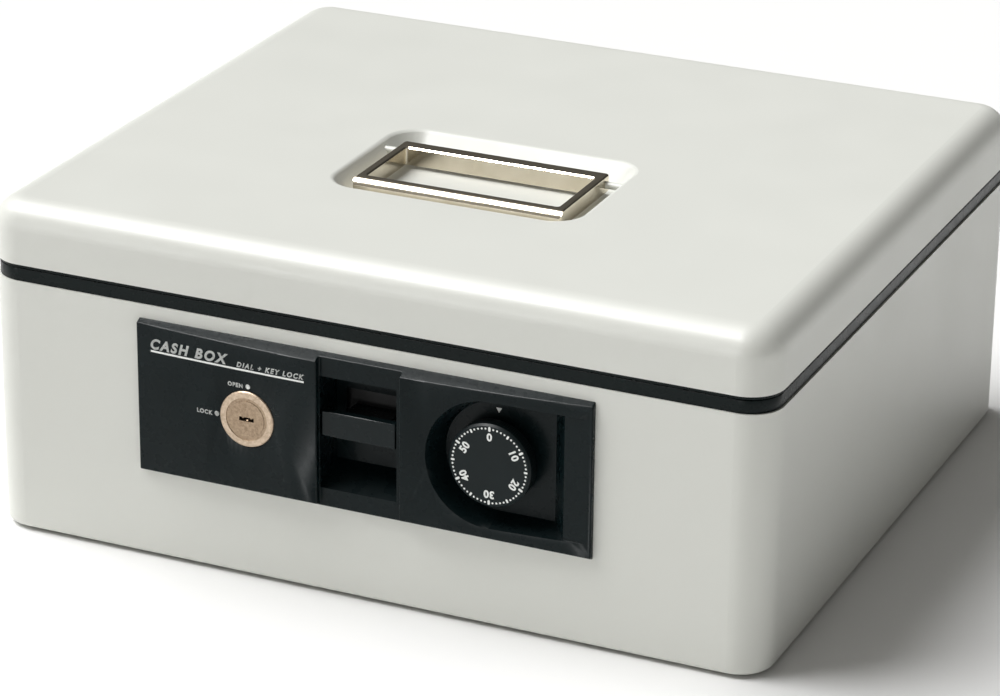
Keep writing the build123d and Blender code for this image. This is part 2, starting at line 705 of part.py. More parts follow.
def make_slide_plate():
    centre = LATCH_CENTRE_X
    half = SLIDE_HALF_WIDTH
    tongue = SLIDE_TONGUE_HALF_WIDTH
    fence_end = DIAL_X + FENCE_THICKNESS / 2
    ear_left = KEY_X + CAM_LENGTH + 1.0
    ear_top = KEY_Z - CAM_WIDTH / 2 - 2.0
    slide = front_profile(
        [
            (centre - half, min(SLIDE_BOTTOM, FENCE_ARM_BOTTOM)),
            (fence_end, min(SLIDE_BOTTOM, FENCE_ARM_BOTTOM)),
            (fence_end, FENCE_ARM_TOP),
            (centre + half, FENCE_ARM_TOP),
            (centre + half, SLIDE_SHOULDER),
            (centre + tongue, SLIDE_SHOULDER),
            (centre + tongue, SLIDE_TOP),
            (centre - tongue, SLIDE_TOP),
            (centre - tongue, SLIDE_SHOULDER),
            (centre - half, SLIDE_SHOULDER),
        ],
        SLIDE_FRONT,
        SLIDE_BACK,
    )
    slide += block(
        ear_left, centre - half + 1, SLIDE_FRONT, SLIDE_BACK, ear_top - KEY_STOP_HEIGHT, ear_top
    )
    slide -= block(
        centre - HOOK_THICKNESS / 2 - 1,
        centre + HOOK_THICKNESS / 2 + 1,
        SLIDE_FRONT - 1,
        SLIDE_BACK + 1,
        HOOK_Z - HOOK_FINGER_HALF - 0.4,
        HOOK_Z + HOOK_FINGER_HALF + 1.4,
    )
    slot_half = GUIDE_PIN_RADIUS + CLEARANCE
    for x, z in GUIDE_PIN_PLACES:
        slide -= block(
            x - slot_half, x + slot_half, SLIDE_FRONT - 1, SLIDE_BACK + 1, z - LATCH_TRAVEL, z
        )
        slide -= rod_y(x, z, SLIDE_FRONT - 1, SLIDE_BACK + 1, slot_half)
        slide -= rod_y(x, z - LATCH_TRAVEL, SLIDE_FRONT - 1, SLIDE_BACK + 1, slot_half)
    for x in SLIDE_RIVET_XS:
        slide -= rod_y(x, NECK_MIDDLE, SLIDE_FRONT - 1, SLIDE_BACK + 1, RIVET_RADIUS)
    return one_solid(slide)


def make_slide_rivets():
    rivets = []
    for x in SLIDE_RIVET_XS:
        shank = rod_y(x, NECK_MIDDLE, SLIDE_FRONT - 5.5, SLIDE_BACK, RIVET_RADIUS)
        head = rod_y(x, NECK_MIDDLE, SLIDE_BACK, SLIDE_BACK + RIVET_HEAD_HEIGHT, RIVET_HEAD_RADIUS)
        rivets.append(shank + head)
    return group(rivets)


def make_fence_bar():
    """A bar under all the wheels; at full latch travel it is FENCE_GAP below their rims."""
    half = FENCE_THICKNESS / 2
    fence = block(
        DIAL_X - half,
        DIAL_X + half,
        WHEELS_START - 0.5,
        DRIVE_CAM_BACK + 0.5,
        FENCE_ARM_TOP,
        FENCE_TOP,
    )
    fence += block(
        DIAL_X - half,
        DIAL_X + half,
        SLIDE_BACK,
        SLIDE_BACK + 4,
        FENCE_ARM_BOTTOM,
        FENCE_ARM_TOP,
    )
    return one_solid(fence)


def make_guide_pins():
    pins = []
    for x, z in GUIDE_PIN_PLACES:
        root = LATCH_SHELL_BACK - GUIDE_PIN_ROOT
        shank = rod_y(x, z, root, SLIDE_BACK + CLEARANCE, GUIDE_PIN_RADIUS)
        head_front = SLIDE_BACK + CLEARANCE
        pins.append(shank + rod_y(x, z, head_front, head_front + 1, GUIDE_PIN_RADIUS + 1.2))
    return group(pins)


def make_latch_frame():
    """A bent bracket: two cheeks, a rear web, two feet and two spring seats."""
    centre = LATCH_CENTRE_X
    low = HOOK_Z - 6
    high = SPRING_SEAT + FRAME_SHEET
    frame_back = PLATE_BACK + FRAME_DEPTH
    frame = block(
        centre - CHEEK_OUTER,
        centre + CHEEK_OUTER,
        frame_back - FRAME_SHEET,
        frame_back,
        low,
        high,
    )
    for side in (-1, 1):
        x0, x1 = sorted((centre + side * CHEEK_INNER, centre + side * CHEEK_OUTER))
        frame += block(x0, x1, PLATE_BACK, frame_back, low, high)
        x0, x1 = sorted((centre + side * CHEEK_INNER, centre + side * (CHEEK_OUTER + FRAME_FOOT)))
        frame += block(x0, x1, PLATE_BACK, PLATE_BACK + FRAME_SHEET, SPRING_SEAT - 9, high)
        x0, x1 = sorted(
            (centre + side * (SLIDE_TONGUE_HALF_WIDTH + 2), centre + side * CHEEK_OUTER)
        )
        frame += block(x0, x1, SLIDE_FRONT - 3, SLIDE_BACK + 3.5, SPRING_SEAT, high)
    frame -= rod_x(HOOK_Y, HOOK_Z, centre - CHEEK_OUTER - 1, centre + CHEEK_OUTER + 1, HOOK_PIN_RADIUS)
    for x, z in FRAME_SCREW_PLACES:
        frame -= rod_y(x, z, PLATE_BACK - 1, PLATE_BACK + FRAME_SHEET + 1, SCREW_RADIUS)
    return one_solid(frame)


def make_frame_screws():
    seat = PLATE_BACK + FRAME_SHEET
    return group(
        headed_screw(x, z, seat, FRONT_INSIDE, seat + SCREW_HEAD_HEIGHT)
        for x, z in FRAME_SCREW_PLACES
    )


def make_hook_pin():
    reach = CHEEK_OUTER + 0.8
    return rod_x(HOOK_Y, HOOK_Z, LATCH_CENTRE_X - reach, LATCH_CENTRE_X + reach, HOOK_PIN_RADIUS)


def make_hook():
    half = HOOK_THICKNESS / 2
    x0 = LATCH_CENTRE_X - half
    x1 = LATCH_CENTRE_X + half
    finger_tip = SLIDE_FRONT - SLIDE_GAP + CLEARANCE
    arm_front = HOOK_Y - HOOK_HUB_RADIUS
    hook = rod_x(HOOK_Y, HOOK_Z, x0 - 2, x1 + 2, HOOK_HUB_RADIUS)
    hook += block(
        x0, x1, finger_tip, HOOK_Y, HOOK_Z - HOOK_FINGER_HALF, HOOK_Z + HOOK_FINGER_HALF
    )
    hook += side_profile(
        [
            (HOOK_Y + 1, HOOK_Z),
            (HOOK_Y + 1, HOOK_TOP),
            (arm_front, HOOK_TOP),
            (HOOK_NOSE_Y, HOOK_TOP - 2.0),
            (HOOK_NOSE_Y, HOOK_TOP - 3.5),
            (arm_front, HOOK_TOP - 3.5),
            (arm_front, HOOK_Z),
        ],
        x0,
        x1,
    )
    hook -= rod_x(HOOK_Y, HOOK_Z, x0 - 3, x1 + 3, HOOK_PIN_RADIUS + RUNNING_FIT)
    return one_solid(hook)


def make_spring(side):
    """A compression spring between the slide's shoulder and its seat on the latch frame."""
    x = LATCH_CENTRE_X + side * SPRING_X
    y = (SLIDE_FRONT + SLIDE_BACK) / 2
    height = SPRING_LENGTH - 2 * SPRING_WIRE - 0.2
    pitch = height / SPRING_TURNS
    path = Helix(pitch=pitch, height=height, radius=SPRING_RADIUS)
    section = Plane(origin=path @ 0, z_dir=path % 0) * Circle(SPRING_WIRE)
    wire = sweep(section, path=path)
    return one_solid(Pos(x, y, SLIDE_SHOULDER + SPRING_WIRE + 0.1) * wire)


PARTS["latch_bar"] = make_latch_bar()
PARTS["latch_slide_plate"] = make_slide_plate()
PARTS["slide_rivets"] = make_slide_rivets()
PARTS["fence_bar"] = make_fence_bar()
PARTS["guide_pins"] = make_guide_pins()
PARTS["latch_frame"] = make_latch_frame()
PARTS["frame_screws"] = make_frame_screws()
PARTS["hook_pin"] = make_hook_pin()
PARTS["latch_hook"] = make_hook()
PARTS["latch_spring_left"] = make_spring(-1)
PARTS["latch_spring_right"] = make_spring(1)


# ---------------------------------------------------------------- combination dial
def make_knob():
    face = rod_y(DIAL_X, DIAL_Z, KNOB_FACE, KNOB_BACK, KNOB_RADIUS)
    face = fillet(face.edges().sort_by(Axis.Y)[0], 0.8)
    hub = rod_y(DIAL_X, DIAL_Z, KNOB_BACK, DIAL_FLOOR - CLEARANCE, KNOB_HUB_RADIUS)
    knob = face + hub
    return one_solid(knob - rod_y(DIAL_X, DIAL_Z, KNOB_FACE + 2.5, DIAL_FLOOR, SPINDLE_RADIUS))


def make_bush():
    tube = rod_y(DIAL_X, DIAL_Z, DIAL_FLOOR, BUSH_END, BUSH_RADIUS)
    flange = rod_y(
        DIAL_X, DIAL_Z, DIAL_SHELL_BACK, DIAL_SHELL_BACK + BUSH_FLANGE, BUSH_FLANGE_RADIUS
    )
    bore = rod_y(DIAL_X, DIAL_Z, DIAL_FLOOR - 1, BUSH_END + 1, SPINDLE_RADIUS + RUNNING_FIT)
    return one_solid(tube + flange - bore)


def notched_disc(y0, bore):
    """A lock wheel with its gate at the bottom."""
    disc = rod_y(DIAL_X, DIAL_Z, y0, y0 + WHEEL_THICKNESS, WHEEL_RADIUS)
    disc -= rod_y(DIAL_X, DIAL_Z, y0 - 1, y0 + WHEEL_THICKNESS + 1, bore)
    return disc - block(
        DIAL_X - GATE_WIDTH / 2,
        DIAL_X + GATE_WIDTH / 2,
        y0 - 1,
        y0 + WHEEL_THICKNESS + 1,
        DIAL_Z - WHEEL_RADIUS - 1,
        DIAL_Z - WHEEL_RADIUS + GATE_DEPTH,
    )


def drive_pin(y0, y1, degrees):
    """A pin at an angle round the spindle, between two depths."""
    angle = math.radians(degrees)
    x = DIAL_X + DRIVE_PIN_CIRCLE * math.cos(angle)
    z = DIAL_Z + DRIVE_PIN_CIRCLE * math.sin(angle)
    return rod_y(x, z, y0, y1, DRIVE_PIN_RADIUS)


def make_wheel(index):
    """One wheel, with a pin that the wheel behind pushes and one that pushes the wheel ahead."""
    y0 = WHEELS_START + index * WHEEL_PITCH
    wheel = notched_disc(y0, BUSH_RADIUS + RUNNING_FIT)
    wheel += drive_pin(y0 + WHEEL_THICKNESS, y0 + WHEEL_THICKNESS + DRIVE_PIN_LENGTH, 90)
    if index:
        wheel += drive_pin(y0 - DRIVE_PIN_LENGTH, y0, 105)
    return one_solid(wheel)


def make_spacers():
    spacers = []
    for index in range(WHEEL_COUNT):
        y0 = WHEELS_START + index * WHEEL_PITCH + WHEEL_THICKNESS + SPACER_GAP
        y1 = WHEELS_START + (index + 1) * WHEEL_PITCH - SPACER_GAP
        spacer = rod_y(DIAL_X, DIAL_Z, y0, y1, SPACER_RADIUS)
        spacers.append(spacer - rod_y(DIAL_X, DIAL_Z, y0 - 1, y1 + 1, BUSH_RADIUS))
    return group(spacers)


def make_drive_cam():
    cam = notched_disc(DRIVE_CAM_FRONT, SPINDLE_RADIUS)
    return one_solid(cam + drive_pin(DRIVE_CAM_FRONT - DRIVE_PIN_LENGTH, DRIVE_CAM_FRONT, 105))


def make_spindle():
    return rod_y(DIAL_X, DIAL_Z, KNOB_FACE + 2.5, SPINDLE_END, SPINDLE_RADIUS)


def make_spindle_nut():
    plane = Plane(origin=(DIAL_X, DRIVE_CAM_BACK, DIAL_Z), x_dir=(1, 0, 0), z_dir=(0, 1, 0))
    nut = extrude(plane * RegularPolygon(5.5, 6), 2.4)
    return one_solid(nut - rod_y(DIAL_X, DIAL_Z, DRIVE_CAM_BACK - 1, SPINDLE_END, SPINDLE_RADIUS))


PARTS["dial_knob"] = make_knob()
PARTS["spindle_bush"] = make_bush()
for number in range(WHEEL_COUNT):
    PARTS[f"tumbler_wheel_{number + 1}"] = make_wheel(number)
PARTS["wheel_spacers"] = make_spacers()
PARTS["drive_cam"] = make_drive_cam()
PARTS["dial_spindle"] = make_spindle()
PARTS["spindle_nut"] = make_spindle_nut()


# ---------------------------------------------------------------- key lock
def make_escutcheon():
    ring = rod_y(KEY_X, KEY_Z, ESCUTCHEON_FACE, ESCUTCHEON_SEAT, ESCUTCHEON_RADIUS)
    ring = fillet(ring.edges().sort_by(Axis.Y)[0], 0.7)
    return one_solid(
        ring - rod_y(KEY_X, KEY_Z, ESCUTCHEON_FACE - 1, ESCUTCHEON_SEAT + 1, CYLINDER_RADIUS)
    )


def make_cylinder():
    tube = rod_y(KEY_X, KEY_Z, ESCUTCHEON_FACE + 0.3, CYLINDER_END, CYLINDER_RADIUS)
    bore = rod_y(KEY_X, KEY_Z, ESCUTCHEON_FACE - 1, CYLINDER_END + 1, PLUG_RADIUS + RUNNING_FIT)
    return one_solid(tube - bore)


def make_cylinder_nut():
    plane = Plane(origin=(KEY_X, PLATE_BACK, KEY_Z), x_dir=(1, 0, 0), z_dir=(0, 1, 0))
    nut = extrude(plane * RegularPolygon(13.5, 6), 3)
    return one_solid(nut - rod_y(KEY_X, KEY_Z, PLATE_BACK - 1, PLATE_BACK + 4, CYLINDER_RADIUS))


def make_plug():
    plug = rod_y(KEY_X, KEY_Z, ESCUTCHEON_FACE + 0.1, CYLINDER_END, PLUG_RADIUS)
    plug += rod_y(KEY_X, KEY_Z, CYLINDER_END, CYLINDER_END + CAM_THICKNESS, CAM_BOSS_RADIUS)
    plug -= block(
        KEY_X - KEYWAY_WIDTH / 2,
        KEY_X + KEYWAY_WIDTH / 2,
        ESCUTCHEON_FACE - 1,
        ESCUTCHEON_FACE + KEYWAY_DEPTH,
        KEY_Z - KEYWAY_HEIGHT / 2,
        KEY_Z + KEYWAY_HEIGHT / 2,
    )
    plug -= rod_y(KEY_X, KEY_Z, CYLINDER_END - 5, CYLINDER_END + CAM_THICKNESS + 1, SCREW_RADIUS)
    return one_solid(plug)


def make_plug_cam():
    y1 = CYLINDER_END + CAM_THICKNESS
    cam = rod_y(KEY_X, KEY_Z, CYLINDER_END, y1, CAM_HUB_RADIUS)
    cam += block(
        KEY_X,
        KEY_X + CAM_LENGTH,
        CYLINDER_END,
        y1,
        KEY_Z - CAM_WIDTH / 2,
        KEY_Z + CAM_WIDTH / 2,
    )
    return one_solid(cam - rod_y(KEY_X, KEY_Z, CYLINDER_END - 1, y1 + 1, CAM_BOSS_RADIUS))


def make_cam_screw():
    seat = CYLINDER_END + CAM_THICKNESS
    head = rod_y(KEY_X, KEY_Z, seat, seat + 2, CAM_BOSS_RADIUS + 1)
    return one_solid(head + rod_y(KEY_X, KEY_Z, seat - 6, seat, SCREW_RADIUS))


PARTS["key_escutcheon"] = make_escutcheon()
PARTS["lock_cylinder"] = make_cylinder()
PARTS["cylinder_nut"] = make_cylinder_nut()
PARTS["key_plug"] = make_plug()
PARTS["plug_cam"] = make_plug_cam()
PARTS["cam_screw"] = make_cam_screw()


# ---------------------------------------------------------------- lid
def pocket_block(z0, z1, wall=0.0):
    """The handle pocket's sloping hollow between two heights, grown by a wall."""
    middle_y = (POCKET_FRONT_Y + POCKET_BACK_Y) / 2
    depth = POCKET_BACK_Y - POCKET_FRONT_Y

    def at(z):
        inset = POCKET_SLOPE * (LID_TOP - z) / POCKET_DEPTH - wall
        outline = RectangleRounded(
            POCKET_WIDTH - 2 * inset, depth - 2 * inset, max(POCKET_CORNER - inset, 3)
        )
        return Pos(0, middle_y, z) * outline

    return loft([at(z1), at(z0)])


def make_lid_shell():
    outer = outline_block(0, LID_BOTTOM, LID_TOP)
    outer = fillet(outer.faces().sort_by(Axis.Z)[-1].edges(), LID_EDGE_RADIUS)
    inner = outline_block(SHEET, LID_BOTTOM - 1, ROOF_UNDERSIDE)
    inner = fillet(inner.faces().sort_by(Axis.Z)[-1].edges(), LID_EDGE_RADIUS - SHEET)
    shell = outer - inner
    shell += pocket_block(POCKET_FLOOR - SHEET, ROOF_UNDERSIDE, SHEET)
    hollow = pocket_block(POCKET_FLOOR, LID_TOP + 1)
    hollow = fillet(hollow.faces().sort_by(Axis.Z)[0].edges(), POCKET_FLOOR_ROUND)
    shell -= hollow
    rim = shell.faces().filter_by(Plane.XY).sort_by(Axis.Z)[-1].inner_wires()[0].edges()
    shell = fillet(rim, POCKET_RIM_ROUND)
    reach = POCKET_HALF + 2
    shell -= rod_x(HANDLE_PIVOT_Y, HANDLE_PIVOT_Z, -reach, reach, HANDLE_PIN_RADIUS + CLEARANCE)
    for x in RIVET_XS:
        shell -= rod_y(x, LID_RIVET_Z, BACK - 4, BACK + 1, RIVET_RADIUS)
    return one_solid(shell)


def make_lid_frame():
    strip = outline_ring(SEAM_INSET, SKIRT_INSET + SKIRT_WALL, LID_STRIP_BOTTOM, LID_BOTTOM)
    skirt = outline_ring(
        SKIRT_INSET, SKIRT_INSET + SKIRT_WALL, LID_BOTTOM, LID_BOTTOM + LID_SKIRT_HEIGHT
    )
    return one_solid(strip + skirt)


def make_striker():
    half = STRIKER_WIDTH / 2
    x0 = LATCH_CENTRE_X - half
    x1 = LATCH_CENTRE_X + half
    leg = block(x0, x1, STRIKER_FRONT, STRIKER_BACK, STRIKER_BOTTOM, ROOF_UNDERSIDE)
    foot = block(
        x0,
        x1,
        STRIKER_FRONT,
        STRIKER_FRONT + STRIKER_FOOT,
        ROOF_UNDERSIDE - STRIKER_THICKNESS,
        ROOF_UNDERSIDE,
    )
    window = block(
        LATCH_CENTRE_X - HOOK_THICKNESS - 2,
        LATCH_CENTRE_X + HOOK_THICKNESS + 2,
        STRIKER_FRONT - 1,
        STRIKER_BACK + 1,
        HOOK_TOP - 4.5,
        HOOK_TOP + 0.8,
    )
    return one_solid(leg + foot - window)


def make_handle_ring():
    middle_y = HANDLE_FRONT_Y + HANDLE_DEPTH / 2
    outline = RectangleRounded(HANDLE_WIDTH, HANDLE_DEPTH, 1.6)
    ring = extrude(Pos(0, middle_y, HANDLE_BOTTOM) * outline, HANDLE_THICKNESS)
    hole_depth = HANDLE_DEPTH - HANDLE_FRONT_BAR - HANDLE_BACK_BAR
    hole_y = HANDLE_FRONT_Y + HANDLE_FRONT_BAR + hole_depth / 2
    hole = RectangleRounded(HANDLE_WIDTH - 2 * HANDLE_SIDE_BAR, hole_depth, 1.2)
    ring -= extrude(Pos(0, hole_y, HANDLE_BOTTOM - 1) * hole, HANDLE_THICKNESS + 2)
    top_face = ring.faces().sort_by(Axis.Z)[-1]
    ring = fillet(top_face.outer_wire().edges(), HANDLE_EDGE_ROUND)
    top_face = ring.faces().sort_by(Axis.Z)[-1]
    ring = chamfer(top_face.inner_wires()[0].edges(), 0.6)
    bottom_face = ring.faces().sort_by(Axis.Z)[0]
    ring = fillet(bottom_face.outer_wire().edges(), 1.2)
    half = HANDLE_WIDTH / 2
    nose_y = HANDLE_FRONT_Y + HANDLE_FRONT_ROUND
    nose_z = HANDLE_TOP - HANDLE_FRONT_ROUND
    corner = block(-half - 1, half + 1, HANDLE_FRONT_Y - 1, nose_y, nose_z, HANDLE_TOP + 1)
    ring -= corner - rod_x(nose_y, nose_z, -half - 2, half + 2, HANDLE_FRONT_ROUND)
    for side in (-1, 1):
        x0, x1 = sorted((side * (half - HANDLE_PIN_ENGAGEMENT), side * (half + 1)))
        ring -= rod_x(HANDLE_PIVOT_Y, HANDLE_PIVOT_Z, x0, x1, HANDLE_PIN_RADIUS + RUNNING_FIT)
    return one_solid(ring)


def make_handle_pin(side):
    inner = HANDLE_WIDTH / 2 - HANDLE_PIN_ENGAGEMENT + 0.4
    outer = POCKET_HALF + SHEET + CLEARANCE + 2
    x0, x1 = sorted((side * inner, side * outer))
    pin = rod_x(HANDLE_PIVOT_Y, HANDLE_PIVOT_Z, x0, x1, HANDLE_PIN_RADIUS)
    x0, x1 = sorted((side * outer, side * (outer + 1)))
    return one_solid(pin + rod_x(HANDLE_PIVOT_Y, HANDLE_PIVOT_Z, x0, x1, HANDLE_PIN_HEAD_RADIUS))


def make_handle_bracket(side):
    inner = POCKET_HALF + SHEET + CLEARANCE
    x0, x1 = sorted((side * inner, side * (inner + 1.6)))
    y0 = HANDLE_PIVOT_Y - 7
    y1 = HANDLE_PIVOT_Y + 7
    bracket = block(x0, x1, y0, y1, POCKET_FLOOR - 1, ROOF_UNDERSIDE)
    x0, x1 = sorted((side * inner, side * (inner + 10)))
    bracket += block(x0, x1, y0, y1, ROOF_UNDERSIDE - 1.6, ROOF_UNDERSIDE)
    reach = inner + 12
    bracket -= rod_x(HANDLE_PIVOT_Y, HANDLE_PIVOT_Z, -reach, reach, HANDLE_PIN_RADIUS)
    x0, x1 = sorted((side * (inner + 1.6), side * reach))
    head_room = HANDLE_PIN_HEAD_RADIUS + CLEARANCE
    return one_solid(bracket - rod_x(HANDLE_PIVOT_Y, HANDLE_PIVOT_Z, x0, x1, head_room))


def make_bumpers():
    y = HANDLE_FRONT_Y + HANDLE_FRONT_BAR / 2
    return group(rod_z(x, y, POCKET_FLOOR, HANDLE_BOTTOM, 2.2) for x in (-30, 30))


PARTS["lid_shell"] = make_lid_shell()
PARTS["lid_frame"] = make_lid_frame()
PARTS["striker"] = make_striker()
PARTS["handle_ring"] = make_handle_ring()
for name, side in (("left", -1), ("right", 1)):
    PARTS[f"handle_pin_{name}"] = make_handle_pin(side)
    PARTS[f"handle_bracket_{name}"] = make_handle_bracket(side)
PARTS["handle_bumpers"] = make_bumpers()


# ---------------------------------------------------------------- rear hinges
def knuckle_spans(middle, first):
    """The stretches of the hinge line that one leaf's knuckles take."""
    step = HINGE_LENGTH / HINGE_KNUCKLES
    start = middle - HINGE_LENGTH / 2
    return [
        (start + index * step + CLEARANCE / 2, start + (index + 1) * step - CLEARANCE / 2)
        for index in range(first, HINGE_KNUCKLES, 2)
    ]


def make_leaf(middle, up, length, first):
    """One leaf: a riveted plate and its knuckles; up is 1 for the lid's leaf, -1 for the body's."""
    near = HINGE_Z + up * (HINGE_RADIUS + HINGE_LEAF_GAP)
    far = HINGE_Z + up * (HINGE_RADIUS + HINGE_LEAF_GAP + length)
    z0, z1 = sorted((near, far))
    x0 = middle - HINGE_LENGTH / 2
    leaf = block(x0, x0 + HINGE_LENGTH, BACK, BACK + HINGE_SHEET, z0, z1)
    for span_start, span_end in knuckle_spans(middle, first):
        z0, z1 = sorted((HINGE_Z, near))
        leaf += block(span_start, span_end, BACK, BACK + HINGE_SHEET, z0, z1)
        leaf += rod_x(HINGE_Y, HINGE_Z, span_start, span_end, HINGE_RADIUS)
    reach = HINGE_LENGTH / 2 + 1
    bore = HINGE_PIN_RADIUS + RUNNING_FIT
    leaf -= rod_x(HINGE_Y, HINGE_Z, middle - reach, middle + reach, bore)
    rivet_z = LID_RIVET_Z if up > 0 else BODY_RIVET_Z
    for step in (-1, 0, 1):
        x = middle + step * RIVET_SPACING
        leaf -= rod_y(x, rivet_z, BACK - 1, BACK + HINGE_SHEET + 1, RIVET_RADIUS)
    return one_solid(leaf)


def make_hinge_pin(middle):
    half = HINGE_LENGTH / 2
    pin = rod_x(HINGE_Y, HINGE_Z, middle - half, middle + half, HINGE_PIN_RADIUS)
    for side in (-1, 1):
        x0, x1 = sorted((middle + side * half, middle + side * (half + 0.8)))
        pin += rod_x(HINGE_Y, HINGE_Z, x0, x1, HINGE_PIN_RADIUS + 0.7)
    return one_solid(pin)


def make_rivets(z):
    outside = BACK + HINGE_SHEET
    inside = BACK - SHEET
    rivets = []
    for x in RIVET_XS:
        rivet = rod_y(x, z, inside, outside, RIVET_RADIUS)
        head = rod_y(x, z, outside, outside + RIVET_HEAD_HEIGHT, RIVET_HEAD_RADIUS)
        head = fillet(head.edges().sort_by(Axis.Y)[-1], RIVET_HEAD_HEIGHT * 0.7)
        rivet += head
        rivet += rod_y(x, z, inside - RIVET_HEAD_HEIGHT, inside, RIVET_HEAD_RADIUS)
        rivets.append(rivet)
    return group(rivets)


for name, middle in HINGE_MIDDLES.items():
    PARTS[f"hinge_body_leaf_{name}"] = make_leaf(middle, -1, HINGE_BODY_LEAF, 0)
    PARTS[f"hinge_lid_leaf_{name}"] = make_leaf(middle, 1, HINGE_LID_LEAF, 1)
    PARTS[f"hinge_pin_{name}"] = make_hinge_pin(middle)
PARTS["body_hinge_rivets"] = make_rivets(BODY_RIVET_Z)
PARTS["lid_hinge_rivets"] = make_rivets(LID_RIVET_Z)


# ---------------------------------------------------------------- inside of the box
def make_tray():
    width = 2 * TRAY_HALF_WIDTH
    depth = TRAY_BACK - TRAY_FRONT
    middle_y = (TRAY_BACK + TRAY_FRONT) / 2
    outline = RectangleRounded(width, depth, TRAY_CORNER)
    tray = extrude(Pos(0, middle_y, TRAY_BOTTOM) * outline, TRAY_HEIGHT)
    front_row = (TRAY_FRONT + TRAY_WALL, TRAY_FRONT + TRAY_WALL + TRAY_FRONT_ROW)
    back_row = (front_row[1] + TRAY_WALL, TRAY_BACK - TRAY_WALL)
    for (y0, y1), count in ((front_row, TRAY_COIN_CUPS), (back_row, TRAY_NOTE_BAYS)):
        bay = (width - (count + 1) * TRAY_WALL) / count
        for index in range(count):
            x0 = -TRAY_HALF_WIDTH + TRAY_WALL + index * (bay + TRAY_WALL)
            hollow = block(x0, x0 + bay, y0, y1, TRAY_BOTTOM + TRAY_WALL, TRAY_TOP + 1)
            hollow = fillet(hollow.edges().filter_by(Axis.Z), TRAY_CORNER - TRAY_WALL)
            hollow = fillet(hollow.faces().sort_by(Axis.Z)[0].edges(), 5)
            tray -= hollow
    reach = TRAY_HALF_WIDTH + 1
    grip_y = (front_row[1] + back_row[1]) / 2
    for side in (-1, 1):
        x0, x1 = sorted((side * (reach - TRAY_WALL - 2), side * reach))
        tray -= rod_x(grip_y, TRAY_TOP, x0, x1, TRAY_GRIP_RADIUS)
    return one_solid(tray)


def make_rail(side):
    """An angle strip that the tray rests on."""
    wall = HALF_WIDTH - SHEET
    y0 = TRAY_FRONT + RAIL_END_GAP
    y1 = TRAY_BACK - RAIL_END_GAP
    x0, x1 = sorted((side * (wall - RAIL_LEG), side * wall))
    rail = block(x0, x1, y0, y1, TRAY_BOTTOM - SHEET, TRAY_BOTTOM)
    x0, x1 = sorted((side * (wall - SHEET), side * wall))
    return one_solid(rail + block(x0, x1, y0, y1, TRAY_BOTTOM - RAIL_LEG, TRAY_BOTTOM))


def make_mat():
    """A felt mat on the floor, behind the lock cover, cut clear of the feet's heads."""
    inset = SHEET + BODY_EDGE_RADIUS + MAT_GAP
    bottom = BASE + SHEET
    half_x = HALF_WIDTH - inset
    mat = block(-half_x, half_x, COVER_BACK, BACK - inset, bottom, bottom + MAT_THICKNESS)
    mat = fillet(mat.edges().filter_by(Axis.Z), CORNER_RADIUS - SHEET)
    for x, y in FOOT_PLACES:
        mat -= rod_z(x, y, bottom - 1, bottom + MAT_THICKNESS + 1, FOOT_HEAD_RADIUS + 1)
    return one_solid(mat)


PARTS["coin_tray"] = make_tray()
PARTS["tray_rail_left"] = make_rail(-1)
PARTS["tray_rail_right"] = make_rail(1)
PARTS["floor_mat"] = make_mat()

for node, shape in PARTS.items():
    export_step(shape, f"parts/{node}.step")
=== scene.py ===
import json
import math
import bpy
from mathutils import Matrix, Vector


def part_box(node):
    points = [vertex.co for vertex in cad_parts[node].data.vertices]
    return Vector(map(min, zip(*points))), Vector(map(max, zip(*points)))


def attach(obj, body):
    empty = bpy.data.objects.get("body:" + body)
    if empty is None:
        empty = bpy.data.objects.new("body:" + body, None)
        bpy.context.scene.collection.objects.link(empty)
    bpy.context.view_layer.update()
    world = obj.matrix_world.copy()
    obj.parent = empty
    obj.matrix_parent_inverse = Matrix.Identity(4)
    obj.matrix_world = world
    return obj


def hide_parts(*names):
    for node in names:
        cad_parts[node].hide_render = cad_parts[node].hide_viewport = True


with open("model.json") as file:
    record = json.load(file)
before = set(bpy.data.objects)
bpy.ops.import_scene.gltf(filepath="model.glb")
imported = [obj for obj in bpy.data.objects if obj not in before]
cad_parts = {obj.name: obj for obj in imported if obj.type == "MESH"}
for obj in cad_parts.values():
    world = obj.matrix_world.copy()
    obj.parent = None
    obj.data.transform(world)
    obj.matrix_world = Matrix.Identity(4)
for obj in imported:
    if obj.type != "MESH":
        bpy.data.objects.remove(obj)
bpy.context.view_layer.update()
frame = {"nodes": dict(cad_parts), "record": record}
nodes = frame["nodes"]
MM = 0.001


# ---------------------------------------------------------------- places taken from the frame
def middle(node):
    low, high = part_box(node)
    return (low + high) / 2


KNOB_LOW, KNOB_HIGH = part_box("dial_knob")
KNOB_CENTRE = middle("dial_knob")
KNOB_RADIUS = (KNOB_HIGH.x - KNOB_LOW.x) / 2
PRINT = 0.04 * MM
KNOB_FRONT = KNOB_LOW.y
KNOB_FACE = KNOB_FRONT + PRINT
RECESS_FLOOR = KNOB_HIGH.y
PLUG_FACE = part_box("key_plug")[0].y
KEY_CENTRE = middle("key_escutcheon")
PANEL_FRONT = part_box("lock_panel")[0].y
MAT_LOW, MAT_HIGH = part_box("floor_mat")


